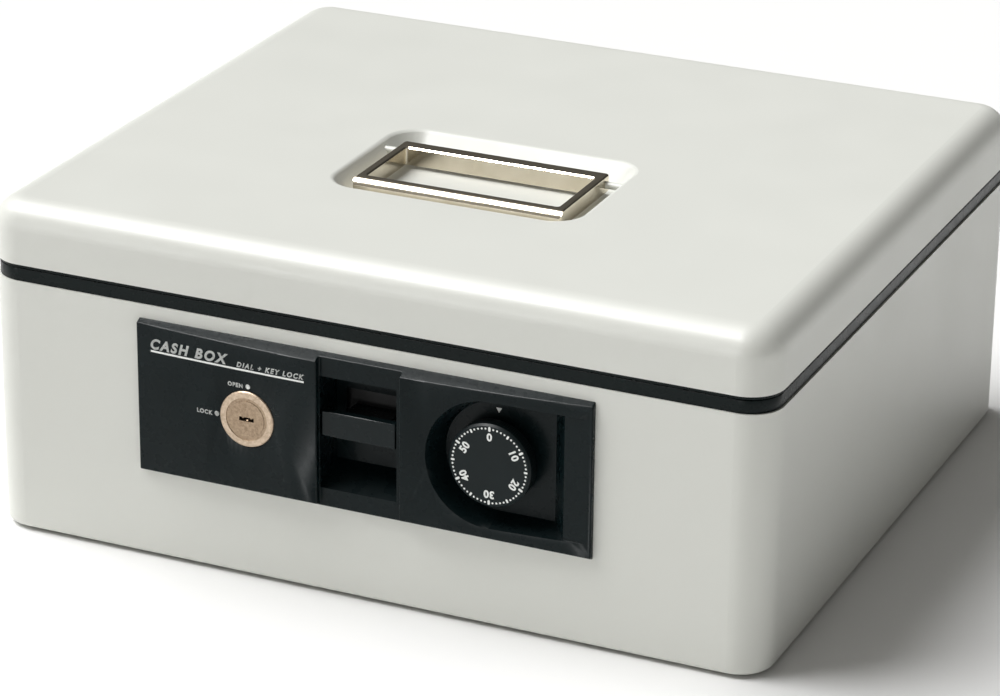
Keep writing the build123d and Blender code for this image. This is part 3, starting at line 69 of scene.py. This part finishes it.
# ---------------------------------------------------------------- material helper
class Finish:
    """A material under construction: a Principled shader fed by textures on Object coordinates."""

    def __init__(self, name, metallic=0.0, roughness=0.5, **shader):
        self.material = bpy.data.materials.new(name)
        self.material.use_nodes = True
        self.tree = self.material.node_tree
        self.shader = self.tree.nodes["Principled BSDF"]
        self.shader.inputs["Metallic"].default_value = metallic
        self.shader.inputs["Roughness"].default_value = roughness
        for socket, value in shader.items():
            self.shader.inputs[socket.replace("_", " ")].default_value = value
        self.place = self.add("ShaderNodeTexCoord").outputs["Object"]

    def add(self, kind, **settings):
        node = self.tree.nodes.new(kind)
        for key, value in settings.items():
            setattr(node, key, value)
        return node

    def link(self, source, target):
        self.tree.links.new(source, target)
        return target

    def mapped(self, centre=(0, 0, 0), scale=(1, 1, 1)):
        """Object coordinates moved so that centre is at zero, and stretched."""
        node = self.add("ShaderNodeMapping")
        node.inputs["Scale"].default_value = scale
        node.inputs["Location"].default_value = [-c * s for c, s in zip(centre, scale)]
        self.link(self.place, node.inputs["Vector"])
        return node.outputs["Vector"]

    def noise(self, size, detail=2.0, rough=0.5, place=None, distortion=0.0):
        """Noise whose blobs are about size metres across."""
        node = self.add("ShaderNodeTexNoise")
        node.inputs["Scale"].default_value = 1 / size
        node.inputs["Detail"].default_value = detail
        node.inputs["Roughness"].default_value = rough
        node.inputs["Distortion"].default_value = distortion
        self.link(place or self.place, node.inputs["Vector"])
        return node.outputs["Fac"]

    def cells(self, size):
        """Rounded cells about size metres across, as in zinc plating."""
        node = self.add("ShaderNodeTexVoronoi")
        node.inputs["Scale"].default_value = 1 / size
        self.link(self.place, node.inputs["Vector"])
        return node.outputs["Distance"]

    def rings(self, pitch, centre, distortion=0.0):
        """Concentric rings round an axis along Y, 2 pi times pitch apart."""
        node = self.add("ShaderNodeTexWave", wave_type="RINGS", rings_direction="Y")
        node.inputs["Scale"].default_value = 1 / (pitch * 20)
        node.inputs["Distortion"].default_value = distortion
        self.link(self.mapped(centre), node.inputs["Vector"])
        return node.outputs["Fac"]

    def ramp(self, source, low, high, start=0.3, stop=0.7):
        """Source from start to stop, turned into low to high."""
        node = self.add("ShaderNodeMapRange")
        self.link(source, node.inputs["Value"])
        for socket, value in zip(("From Min", "From Max", "To Min", "To Max"), (start, stop, low, high)):
            node.inputs[socket].default_value = value
        return node.outputs["Result"]

    def colours(self, source, low, high, start=0.3, stop=0.7):
        """Source from start to stop, turned into a blend of two colours on the base colour."""
        node = self.add("ShaderNodeValToRGB")
        first, last = node.color_ramp.elements
        first.position, last.position = start, stop
        first.color, last.color = (*low, 1), (*high, 1)
        self.link(source, node.inputs["Fac"])
        self.link(node.outputs["Color"], self.shader.inputs["Base Color"])
        return self

    def roughness(self, source, low, high, start=0.3, stop=0.7):
        self.link(self.ramp(source, low, high, start, stop), self.shader.inputs["Roughness"])
        return self

    def bumps(self, *layers):
        """Each layer is (source, height in metres, strength); they stack."""
        normal = None
        for source, height, strength in layers:
            node = self.add("ShaderNodeBump")
            node.inputs["Strength"].default_value = strength
            node.inputs["Distance"].default_value = height
            self.link(source, node.inputs["Height"])
            if normal:
                self.link(normal, node.inputs["Normal"])
            normal = node.outputs["Normal"]
        self.link(normal, self.shader.inputs["Normal"])
        return self


def tinted(colour, share):
    return tuple(c * share for c in colour)


# ---------------------------------------------------------------- finishes
def satin_enamel():
    """Sprayed and baked light grey enamel, with a faint orange peel."""
    f = Finish("satin enamel", Coat_Weight=0.05, Coat_Roughness=0.3, Specular_IOR_Level=0.45)
    grey = (0.735, 0.745, 0.70)
    f.colours(f.noise(0.16, 3.0), tinted(grey, 0.975), grey)
    f.roughness(f.noise(0.03, 3.0), 0.36, 0.44)
    return f.bumps((f.noise(0.0016, 1.0), 0.00001, 0.5)).material


def moulded(name, colour, roughness, grain=0.00028, height=0.00001, **shader):
    """Moulded plastic with a fine spark-eroded texture."""
    f = Finish(name, **shader)
    f.colours(f.noise(0.02, 3.0), tinted(colour, 0.88), tinted(colour, 1.1))
    f.roughness(f.noise(0.006, 3.0), roughness - 0.04, roughness + 0.04)
    return f.bumps((f.noise(grain, 2.0), height, 0.6)).material


def champagne_plate():
    """Bright nickel plating with a warm tint."""
    f = Finish("champagne plate", metallic=1.0)
    f.colours(f.noise(0.01, 3.0), (0.60, 0.54, 0.43), (0.68, 0.62, 0.51))
    along = f.mapped(scale=(0.06, 1.0, 1.0))
    f.roughness(f.noise(0.0006, 3.0, place=along), 0.13, 0.22)
    return f.bumps((f.noise(0.0004, 2.0, place=along), 0.000004, 0.35)).material


def turned_champagne(name, centre, low, high):
    """Champagne nickel turned on a lathe, so it has fine rings round its axis."""
    f = Finish(name, metallic=1.0)
    f.colours(f.noise(0.0011, 4.0, 0.6), low, high)
    f.roughness(f.noise(0.0008, 3.0), 0.34, 0.5)
    rings = f.rings(0.00022, centre, 0.4)
    return f.bumps((rings, 0.00001, 0.25), (f.noise(0.0003, 3.0), 0.00001, 0.5)).material


def plated_steel(name, colour, low=0.3, high=0.42, size=0.004):
    """Zinc or nickel plated steel, slightly blotchy."""
    f = Finish(name, metallic=1.0)
    f.colours(f.noise(size, 4.0), tinted(colour, 0.88), tinted(colour, 1.05))
    f.roughness(f.cells(size), low, high, 0.1, 0.7)
    return f.bumps((f.noise(0.0007, 3.0), 0.000008, 0.4)).material


def turned_brass():
    f = Finish("turned brass", metallic=1.0)
    f.colours(f.noise(0.006, 4.0), (0.66, 0.47, 0.2), (0.76, 0.58, 0.29))
    f.roughness(f.noise(0.002, 3.0), 0.24, 0.36)
    centre = (KNOB_CENTRE.x, KNOB_CENTRE.y, KNOB_CENTRE.z)
    return f.bumps((f.rings(0.0004, centre, 0.3), 0.00001, 0.3)).material


def white_print():
    """Screen-printed white ink."""
    f = Finish("white print")
    f.colours(f.noise(0.0008, 3.0), (0.80, 0.82, 0.80), (0.88, 0.90, 0.88))
    return f.roughness(f.noise(0.0005, 2.0), 0.5, 0.62).material


def felt():
    f = Finish("needled felt", roughness=0.95, Sheen_Weight=0.35, Sheen_Roughness=0.5)
    f.colours(f.noise(0.0012, 5.0, 0.7), (0.018, 0.02, 0.023), (0.05, 0.054, 0.06))
    fibres = f.noise(0.0005, 4.0, 0.8, distortion=1.5)
    return f.bumps((f.noise(0.012, 3.0), 0.0004, 0.4), (fibres, 0.00025, 0.8)).material


PANEL_BLACK = (0.0035, 0.0085, 0.0095)
CHAMPAGNE_LOW = (0.35, 0.27, 0.195)
CHAMPAGNE_HIGH = (0.56, 0.45, 0.345)
PLUG_LOW_TONE = (0.21, 0.15, 0.10)
PLUG_HIGH_TONE = (0.38, 0.29, 0.205)
ROSE_CENTRE = (KEY_CENTRE.x, 0.0, KEY_CENTRE.z)
finishes = {
    "case_paint": satin_enamel(),
    "seam_plastic": moulded("seam plastic", (0.003, 0.0075, 0.0075), 0.28, Specular_IOR_Level=0.14),
    "panel_plastic": moulded("panel plastic", PANEL_BLACK, 0.28, Specular_IOR_Level=0.14),
    "latch_plastic": moulded(
        "latch plastic", PANEL_BLACK, 0.26, height=0.000006, Specular_IOR_Level=0.2
    ),
    "dial_plastic": moulded("dial plastic", (0.006, 0.0115, 0.0125), 0.40, Specular_IOR_Level=0.16),
    "escutcheon_metal": turned_champagne("turned champagne", ROSE_CENTRE, CHAMPAGNE_LOW, CHAMPAGNE_HIGH),
    "plug_metal": turned_champagne("plug champagne", ROSE_CENTRE, PLUG_LOW_TONE, PLUG_HIGH_TONE),
    "handle_plate": champagne_plate(),
    "steel": plated_steel("zinc plated steel", (0.56, 0.57, 0.58)),
    "hinge_steel": plated_steel("nickel plated steel", (0.62, 0.61, 0.58), 0.22, 0.32),
    # The near-black on the latch slide plate is painted shade: it stands for the dark, shaded window
    # above the latch bar.
    "black_steel": moulded("black phosphated steel", (0.014, 0.015, 0.016), 0.6, 0.0005),
    "spring_steel": plated_steel("spring wire", (0.40, 0.40, 0.42), 0.25, 0.35, 0.001),
    "brass": turned_brass(),
    "rubber": moulded("black rubber", (0.022, 0.022, 0.022), 0.78, 0.0006, 0.00003),
    "tray_plastic": moulded("tray plastic", (0.052, 0.056, 0.060), 0.5, 0.0007, 0.00003),
    "felt": felt(),
}
slot_of_node = {part["node"]: part["material_slot"] for part in frame["record"]["subparts"]}
for name, node in nodes.items():
    node.data.materials.clear()
    node.data.materials.append(finishes[slot_of_node[name]])


# ---------------------------------------------------------------- making by hand
def deselect():
    bpy.ops.object.select_all(action="DESELECT")


def alone(piece):
    """Makes piece the one selected and active object."""
    deselect()
    piece.select_set(True)
    bpy.context.view_layer.objects.active = piece


def settle(piece):
    """Puts the object's place, turn and size into its mesh."""
    alone(piece)
    bpy.ops.object.transform_apply(location=True, rotation=True, scale=True)


def edit_faces(piece, wanted):
    """Enters edit mode with only the faces selected for which wanted(face) is true."""
    alone(piece)
    bpy.ops.object.mode_set(mode="EDIT")
    bpy.ops.mesh.select_mode(type="FACE")
    bpy.ops.mesh.select_all(action="DESELECT")
    bpy.ops.object.mode_set(mode="OBJECT")
    for face in piece.data.polygons:
        face.select = wanted(face)
    bpy.ops.object.mode_set(mode="EDIT")


def object_mode():
    bpy.ops.object.mode_set(mode="OBJECT")


def join(pieces, name):
    deselect()
    for piece in pieces:
        piece.select_set(True)
    bpy.context.view_layer.objects.active = pieces[0]
    bpy.ops.object.join()
    pieces[0].name = name
    return pieces[0]


def apply_all(piece):
    alone(piece)
    for modifier in list(piece.modifiers):
        bpy.ops.object.modifier_apply(modifier=modifier.name)


def finished(piece, body, slot, material=None, smooth=30):
    alone(piece)
    bpy.ops.object.shade_smooth_by_angle(angle=math.radians(smooth))
    piece.data.materials.clear()
    piece.data.materials.append(material or finishes[slot])
    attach(piece, body)
    return piece


def soften(node, width, segments=2):
    """Breaks the sharp edges of a CAD piece, as a moulding tool does."""
    weld = nodes[node].modifiers.new("weld", "WELD")
    weld.merge_threshold = 0.000002
    edge = nodes[node].modifiers.new("edge", "BEVEL")
    edge.width = width
    edge.segments = segments
    edge.limit_method = "ANGLE"
    edge.angle_limit = math.radians(22)
    edge.harden_normals = True


# ---------------------------------------------------------------- dial knob
KNOB_DISC = 6.2 * MM
KNOB_CHAMFER = 0.85 * MM
KNOB_HUB_RADIUS = 9.0 * MM
KNOB_RIBS = 120
RIB_DEPTH = 0.22 * MM


def ribbed_knob():
    """The dial: a ribbed disc with a chamfered face, on a plain hub."""
    deselect()
    bpy.ops.mesh.primitive_cylinder_add(
        vertices=2 * KNOB_RIBS,
        radius=KNOB_RADIUS,
        depth=KNOB_DISC - KNOB_CHAMFER,
        location=(KNOB_CENTRE.x, KNOB_FACE + (KNOB_DISC + KNOB_CHAMFER) / 2, KNOB_CENTRE.z),
        rotation=(math.pi / 2, 0, 0),
    )
    knob = bpy.context.object
    knob.name = "ribbed_knob"
    settle(knob)
    centre = (KNOB_CENTRE.x, 0, KNOB_CENTRE.z)
    edit_faces(knob, lambda face: face.normal.y < -0.9)
    bpy.ops.mesh.extrude_region_move(TRANSFORM_OT_translate={"value": (0, -KNOB_CHAMFER, 0)})
    share = 1 - KNOB_CHAMFER / KNOB_RADIUS
    bpy.ops.transform.resize(value=(share, 1, share), center_override=centre)
    object_mode()
    edit_faces(knob, lambda face: face.normal.y > 0.9)
    bpy.ops.mesh.inset(thickness=KNOB_RADIUS - KNOB_HUB_RADIUS)
    hub = KNOB_HIGH.y - KNOB_FACE - KNOB_DISC
    bpy.ops.mesh.extrude_region_move(TRANSFORM_OT_translate={"value": (0, hub, 0)})
    object_mode()
    side = [face.index for face in knob.data.polygons if is_rim(face)]
    side.sort(key=lambda index: rim_angle(knob.data.polygons[index]))
    grooves = set(side[::2])
    edit_faces(knob, lambda face: face.index in grooves)
    bpy.ops.mesh.inset(thickness=RIB_DEPTH / 3, use_individual=True)
    bpy.ops.mesh.extrude_faces_move(TRANSFORM_OT_shrink_fatten={"value": -RIB_DEPTH})
    object_mode()
    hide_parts("dial_knob")
    return finished(knob, "dial", "dial_plastic", smooth=25)


def is_rim(face):
    """A face on the knob's ribbed side."""
    away = math.hypot(face.center.x - KNOB_CENTRE.x, face.center.z - KNOB_CENTRE.z)
    return abs(face.normal.y) < 0.1 and away > 0.9 * KNOB_RADIUS


def rim_angle(face):
    return math.atan2(face.center.z - KNOB_CENTRE.z, face.center.x - KNOB_CENTRE.x)


# ---------------------------------------------------------------- printed marks
def dial_mark(length, width, radius, degrees):
    """One raised dash or dot, rounded at its ends, at an angle clockwise from the top."""
    deselect()
    bpy.ops.mesh.primitive_cylinder_add(
        vertices=12, radius=width / 2, depth=PRINT, rotation=(math.pi / 2, 0, 0)
    )
    mark = bpy.context.object
    settle(mark)
    stretch = (length - width) / 2
    for vertex in mark.data.vertices:
        vertex.co.z += math.copysign(stretch, vertex.co.z)
    turn = Matrix.Rotation(math.radians(degrees), 4, "Y")
    place = Matrix.Translation((KNOB_CENTRE.x, KNOB_FACE - PRINT / 2, KNOB_CENTRE.z))
    mark.data.transform(place @ turn @ Matrix.Translation((0, 0, radius)))
    return mark


# Length, width and distance from the middle of the dial
TEN_MARK = (2.1 * MM, 1.05 * MM, 15.95 * MM)
FIVE_MARK = (1.7 * MM, 0.9 * MM, 15.95 * MM)
UNIT_MARK = (0.86 * MM, 0.86 * MM, 16.1 * MM)


def dial_graduations():
    marks = []
    for unit in range(60):
        if unit % 10 == 0:
            length, width, radius = TEN_MARK
        elif unit % 5 == 0:
            length, width, radius = FIVE_MARK
        else:
            length, width, radius = UNIT_MARK
        marks.append(dial_mark(length, width, radius, 6 * unit))
    return finished(join(marks, "dial_graduations"), "dial", "dial_plastic", ink)


def word_mesh(words, height, bold=0.0, slant=0.0, spacing=1.0, width=None):
    """Flat lettering in the XZ plane, facing -Y, with its lower left corner at zero."""
    deselect()
    bpy.ops.object.text_add()
    text = bpy.context.object
    text.data.body = words
    text.data.offset = bold
    text.data.shear = slant
    text.data.space_character = spacing
    text.data.resolution_u = 6
    text.data.extrude = 0.5
    alone(text)
    bpy.ops.object.convert(target="MESH")
    word = bpy.context.object
    low = Vector([min(v.co[i] for v in word.data.vertices) for i in range(3)])
    high = Vector([max(v.co[i] for v in word.data.vertices) for i in range(3)])
    scale = height / (high.y - low.y)
    across = width / (high.x - low.x) if width else scale
    to_front = Matrix.Rotation(math.pi / 2, 4, "X")
    size = Matrix.Diagonal((across, scale, PRINT, 1))
    word.data.transform(to_front @ size @ Matrix.Translation((-low.x, -low.y, 0)))
    return word


def dial_numerals():
    height = 3.5 * MM
    radius = 12.5 * MM
    numerals = []
    for number in range(0, 60, 10):
        word = word_mesh(str(number), height, bold=0.04, spacing=1.08)
        wide = max(vertex.co.x for vertex in word.data.vertices)
        centred = Matrix.Translation((-wide / 2, 0, radius - height / 2))
        turn = Matrix.Rotation(math.radians(6 * number), 4, "Y")
        place = Matrix.Translation((KNOB_CENTRE.x, KNOB_FACE - PRINT / 2, KNOB_CENTRE.z))
        word.data.transform(place @ turn @ centred)
        numerals.append(word)
    return finished(join(numerals, "dial_numerals"), "dial", "dial_plastic", ink)


BEFORE_PANEL = PANEL_FRONT - 5 * MM
INK_LIFT = 0.05 * MM
DOT_RADIUS = 1.1 * MM
TITLE_STYLE = {"bold": 0.045, "slant": 0.28, "spacing": 1.3}
SUBTITLE_STYLE = {"bold": 0.045, "slant": 0.28, "spacing": 1.35}
KEY_WORD_STYLE = {"bold": 0.05, "spacing": 1.2}
# Name, words, left edge, bottom edge, height and width in millimetres, and the style
PANEL_WORDS = (
    ("title", "CASH BOX", -95.2, 96.8, 4.8, 36.8, TITLE_STYLE),
    ("subtitle", "DIAL + KEY LOCK", -54.6, 96.8, 2.4, 31.2, SUBTITLE_STYLE),
    ("open_word", "OPEN", -58.8, 87.8, 2.0, 7.0, KEY_WORD_STYLE),
    ("lock_word", "LOCK", -73.6, 73.0, 2.0, 7.4, KEY_WORD_STYLE),
)
PANEL_DOTS = ((-49.4, 88.9), (-64.2, 74.2))
RULE_LEFT = -95.2 * MM
RULE_RIGHT = -23.6 * MM
RULE_BOTTOM = 95.5 * MM
RULE_HEIGHT = 0.85 * MM


def on_panel(piece):
    """Drapes flat lettering on the bowed face of the panel."""
    wrap = piece.modifiers.new("wrap", "SHRINKWRAP")
    wrap.target = nodes["lock_panel"]
    wrap.wrap_method = "PROJECT"
    wrap.use_project_y = True
    wrap.use_negative_direction = False
    wrap.use_positive_direction = True
    wrap.wrap_mode = "ABOVE_SURFACE"
    wrap.offset = INK_LIFT
    apply_all(piece)


def panel_word(name, words, left, bottom, height, width, **style):
    word = word_mesh(words, height * MM, width=width * MM, **style)
    word.name = name
    word.data.transform(Matrix.Translation((left * MM, BEFORE_PANEL, bottom * MM)))
    on_panel(word)
    return word


def panel_dot(x, z):
    deselect()
    bpy.ops.mesh.primitive_cylinder_add(
        vertices=32,
        radius=DOT_RADIUS,
        depth=PRINT,
        location=(x * MM, BEFORE_PANEL, z * MM),
        rotation=(math.pi / 2, 0, 0),
    )
    dot = bpy.context.object
    settle(dot)
    on_panel(dot)
    return dot


def panel_rule():
    """The line under the title, cut into short lengths so that it follows the bow."""
    deselect()
    bpy.ops.mesh.primitive_grid_add(x_subdivisions=48, y_subdivisions=1, size=1)
    rule = bpy.context.object
    rule.scale = (RULE_RIGHT - RULE_LEFT, RULE_HEIGHT, 1)
    rule.rotation_euler = (math.pi / 2, 0, 0)
    rule.location = ((RULE_LEFT + RULE_RIGHT) / 2, BEFORE_PANEL, RULE_BOTTOM + RULE_HEIGHT / 2)
    settle(rule)
    on_panel(rule)
    return rule


def panel_print():
    """White words and marks on the panel, all generic."""
    pieces = [panel_word(*entry[:-1], **entry[-1]) for entry in PANEL_WORDS]
    pieces.append(panel_rule())
    pieces += [panel_dot(x, z) for x, z in PANEL_DOTS]
    return finished(join(pieces, "panel_print"), "case", "panel_plastic", ink)


POINTER_RADIUS = 1.5 * MM
POINTER_Z = 94.9 * MM


def dial_pointer():
    """The printed triangle on the recess floor, pointing at the dial."""
    deselect()
    bpy.ops.mesh.primitive_cylinder_add(
        vertices=3, radius=POINTER_RADIUS, depth=PRINT, rotation=(math.pi / 2, 0, 0)
    )
    pointer = bpy.context.object
    pointer.name = "dial_pointer"
    settle(pointer)
    top = max(vertex.co.z for vertex in pointer.data.vertices)
    points_up = top > 0.8 * POINTER_RADIUS
    turn = Matrix.Rotation(math.pi if points_up else 0, 4, "Y")
    place = Matrix.Translation((KNOB_CENTRE.x - 0.4 * MM, RECESS_FLOOR - PRINT / 2, POINTER_Z))
    pointer.data.transform(place @ turn)
    edit_faces(pointer, lambda face: face.normal.y < -0.9)
    bpy.ops.mesh.bevel(offset=0.05 * MM)
    object_mode()
    return finished(pointer, "case", "panel_plastic", ink)


# ---------------------------------------------------------------- key plug detail
LIP_RADIUS = 1.35 * MM
LIP_WIRE = 0.32 * MM
LIP_STRETCH = 2.6 * MM
LIP_BACK = 0.33 * MM
WARD_SIZE = (0.9 * MM, 4.0 * MM, 0.7 * MM)
WARD_BACK = 2.2 * MM
WARD_OFFSET = 0.62 * MM
WARD_EDGE = 0.12 * MM


def keyway_lip():
    """The polished lip round the key slot, set in behind the face of the plug, in a lighter champagne
    that is a painted highlight.
    """
    deselect()
    bpy.ops.mesh.primitive_torus_add(
        major_radius=LIP_RADIUS,
        minor_radius=LIP_WIRE,
        major_segments=40,
        minor_segments=12,
        rotation=(math.pi / 2, 0, 0),
    )
    lip = bpy.context.object
    lip.name = "keyway_lip"
    settle(lip)
    for vertex in lip.data.vertices:
        vertex.co.x += math.copysign(LIP_STRETCH, vertex.co.x)
    lip.data.transform(Matrix.Translation((KEY_CENTRE.x, KNOB_FRONT + LIP_BACK, KEY_CENTRE.z)))
    return finished(lip, "key", "plug_metal", champagne_painted_highlight, smooth=60)


def keyway_wards():
    """Three small wards that narrow the key slot into a zigzag."""
    wards = []
    for across, side in ((-1.7, 1), (0.3, -1), (2.0, 1)):
        deselect()
        bpy.ops.mesh.primitive_cube_add(size=1)
        ward = bpy.context.object
        ward.scale = WARD_SIZE
        ward.location = (
            KEY_CENTRE.x + across * MM,
            PLUG_FACE + WARD_BACK,
            KEY_CENTRE.z + side * WARD_OFFSET,
        )
        settle(ward)
        edit_faces(ward, lambda face: face.normal.y < -0.9)
        bpy.ops.mesh.bevel(offset=WARD_EDGE)
        object_mode()
        wards.append(ward)
    return finished(join(wards, "keyway_wards"), "key", "plug_metal")


# ---------------------------------------------------------------- felt mat
MAT_WAVE = 0.04 * MM
MAT_TOP_GAP = 0.1 * MM
MAT_ROOM = 0.25 * MM
MAT_EDGE = 0.4 * MM


def felt_mat():
    """The loose felt in the bottom of the box, cut a little short of the walls."""
    width, length, thick = MAT_HIGH - MAT_LOW
    deselect()
    bpy.ops.mesh.primitive_grid_add(x_subdivisions=90, y_subdivisions=80, size=1)
    mat = bpy.context.object
    mat.name = "felt_mat"
    mat.scale = (width, length, 1)
    centre = (MAT_LOW + MAT_HIGH) / 2
    mat.location = (centre.x, centre.y, MAT_HIGH.z - MAT_TOP_GAP)
    settle(mat)
    for vertex in mat.data.vertices:
        x, y = vertex.co.x, vertex.co.y
        wave = math.sin(90 * x + 2) * math.sin(70 * y) + math.sin(210 * x * y / 0.15)
        vertex.co.z += MAT_WAVE * wave
    thickness = mat.modifiers.new("thickness", "SOLIDIFY")
    thickness.thickness = thick - MAT_ROOM
    thickness.offset = -1
    edge = mat.modifiers.new("edge", "BEVEL")
    edge.width = MAT_EDGE
    edge.segments = 2
    edge.limit_method = "ANGLE"
    apply_all(mat)
    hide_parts("floor_mat")
    return finished(mat, "case", "felt", smooth=60)


# ---------------------------------------------------------------- assembly of the looks
SOFT_EDGES = {
    "lock_panel": 0.25 * MM,
    "latch_bar": 0.5 * MM,
    "rim_frame": 0.2 * MM,
    "lid_frame": 0.15 * MM,
    "key_escutcheon": 0.35 * MM,
    "key_plug": 0.25 * MM,
}
ink = white_print()
# A lighter copy of the turned champagne: a painted highlight on the key slot's lip.
champagne_painted_highlight = turned_champagne(
    "champagne painted highlight", ROSE_CENTRE, (0.72, 0.64, 0.5), (0.84, 0.77, 0.64)
)
ribbed_knob()
dial_graduations()
dial_numerals()
panel_print()
dial_pointer()
keyway_lip()
keyway_wards()
felt_mat()
for node, width in SOFT_EDGES.items():
    soften(node, width)


# ---------------------------------------------------------------- studio
def softbox(name, place, aim, size, watts):
    """A light for the polished edges only: it adds no light to the faces."""
    data = bpy.data.lights.new(name, "AREA")
    data.shape = "RECTANGLE"
    data.size, data.size_y = size
    data.energy = watts
    lamp = bpy.data.objects.new(name, data)
    bpy.context.scene.collection.objects.link(lamp)
    lamp.visible_diffuse = False
    lamp.location = place
    lamp.rotation_euler = (Vector(aim) - Vector(place)).to_track_quat("-Z", "Y").to_euler()


def soft_sun(name, towards, strength, spread):
    data = bpy.data.lights.new(name, "SUN")
    data.energy = strength
    data.angle = math.radians(spread)
    lamp = bpy.data.objects.new(name, data)
    bpy.context.scene.collection.objects.link(lamp)
    lamp.rotation_euler = (-Vector(towards)).to_track_quat("-Z", "Y").to_euler()


def pale_floor():
    deselect()
    bpy.ops.mesh.primitive_plane_add(size=12.0)
    floor = bpy.context.object
    floor.name = "studio_floor"
    f = Finish("studio floor", roughness=0.8)
    f.colours(f.noise(0.8, 2.0), (0.875, 0.875, 0.87), (0.89, 0.89, 0.885))
    floor.data.materials.append(f.material)


CAMERA_YAW_PITCH_ROLL = (24.0, 22.65, 0.61)
CAMERA_PLACE = (0.641, -1.457, 0.7195)
CAMERA_LENS = 141.2


def camera():
    yaw, pitch, roll = (math.radians(angle) for angle in CAMERA_YAW_PITCH_ROLL)
    ahead = Vector((-math.sin(yaw) * math.cos(pitch), math.cos(yaw) * math.cos(pitch), -math.sin(pitch)))
    level = Vector((math.cos(yaw), math.sin(yaw), 0))
    upright = level.cross(ahead)
    right = math.cos(roll) * level + math.sin(roll) * upright
    up = math.cos(roll) * upright - math.sin(roll) * level
    data = bpy.data.cameras.new("camera")
    data.sensor_width = 36.0
    data.lens = CAMERA_LENS
    data.clip_start = 0.05
    eye = bpy.data.objects.new("camera", data)
    bpy.context.scene.collection.objects.link(eye)
    turn = Matrix((right, up, -ahead)).transposed().to_4x4()
    eye.matrix_world = Matrix.Translation(CAMERA_PLACE) @ turn
    bpy.context.scene.camera = eye


def world_light():
    world = bpy.data.worlds.new("studio")
    world.use_nodes = True
    sky = world.node_tree.nodes["Background"]
    direction = world.node_tree.nodes.new("ShaderNodeTexCoord")
    behind = world.node_tree.nodes.new("ShaderNodeVectorMath")
    behind.operation = "DOT_PRODUCT"
    behind.inputs[1].default_value = (0.6, 0.8, 0.0)
    shade = world.node_tree.nodes.new("ShaderNodeMapRange")
    shade.inputs["From Min"].default_value = -1.0
    shade.inputs["From Max"].default_value = 1.0
    shade.inputs["To Min"].default_value = 1.6
    shade.inputs["To Max"].default_value = 0.15
    world.node_tree.links.new(direction.outputs["Generated"], behind.inputs[0])
    world.node_tree.links.new(behind.outputs["Value"], shade.inputs["Value"])
    world.node_tree.links.new(shade.outputs["Result"], sky.inputs["Strength"])
    sky.inputs["Color"].default_value = (0.215, 0.21, 0.20, 1)
    bpy.context.scene.world = world


pale_floor()
camera()
world_light()
soft_sun("key_light", (-0.58, -0.05, 0.81), 3.75, 45)
softbox("edge_light", (-0.82, -0.85, 1.85), (0.0, -0.15, 0.08), (0.9, 0.35), 42)
softbox("front_strip", (-1.1, -2.8, 0.3), (0.0, -0.15, 0.1), (1.6, 0.22), 20)
bpy.context.scene.view_settings.view_transform = "Standard"
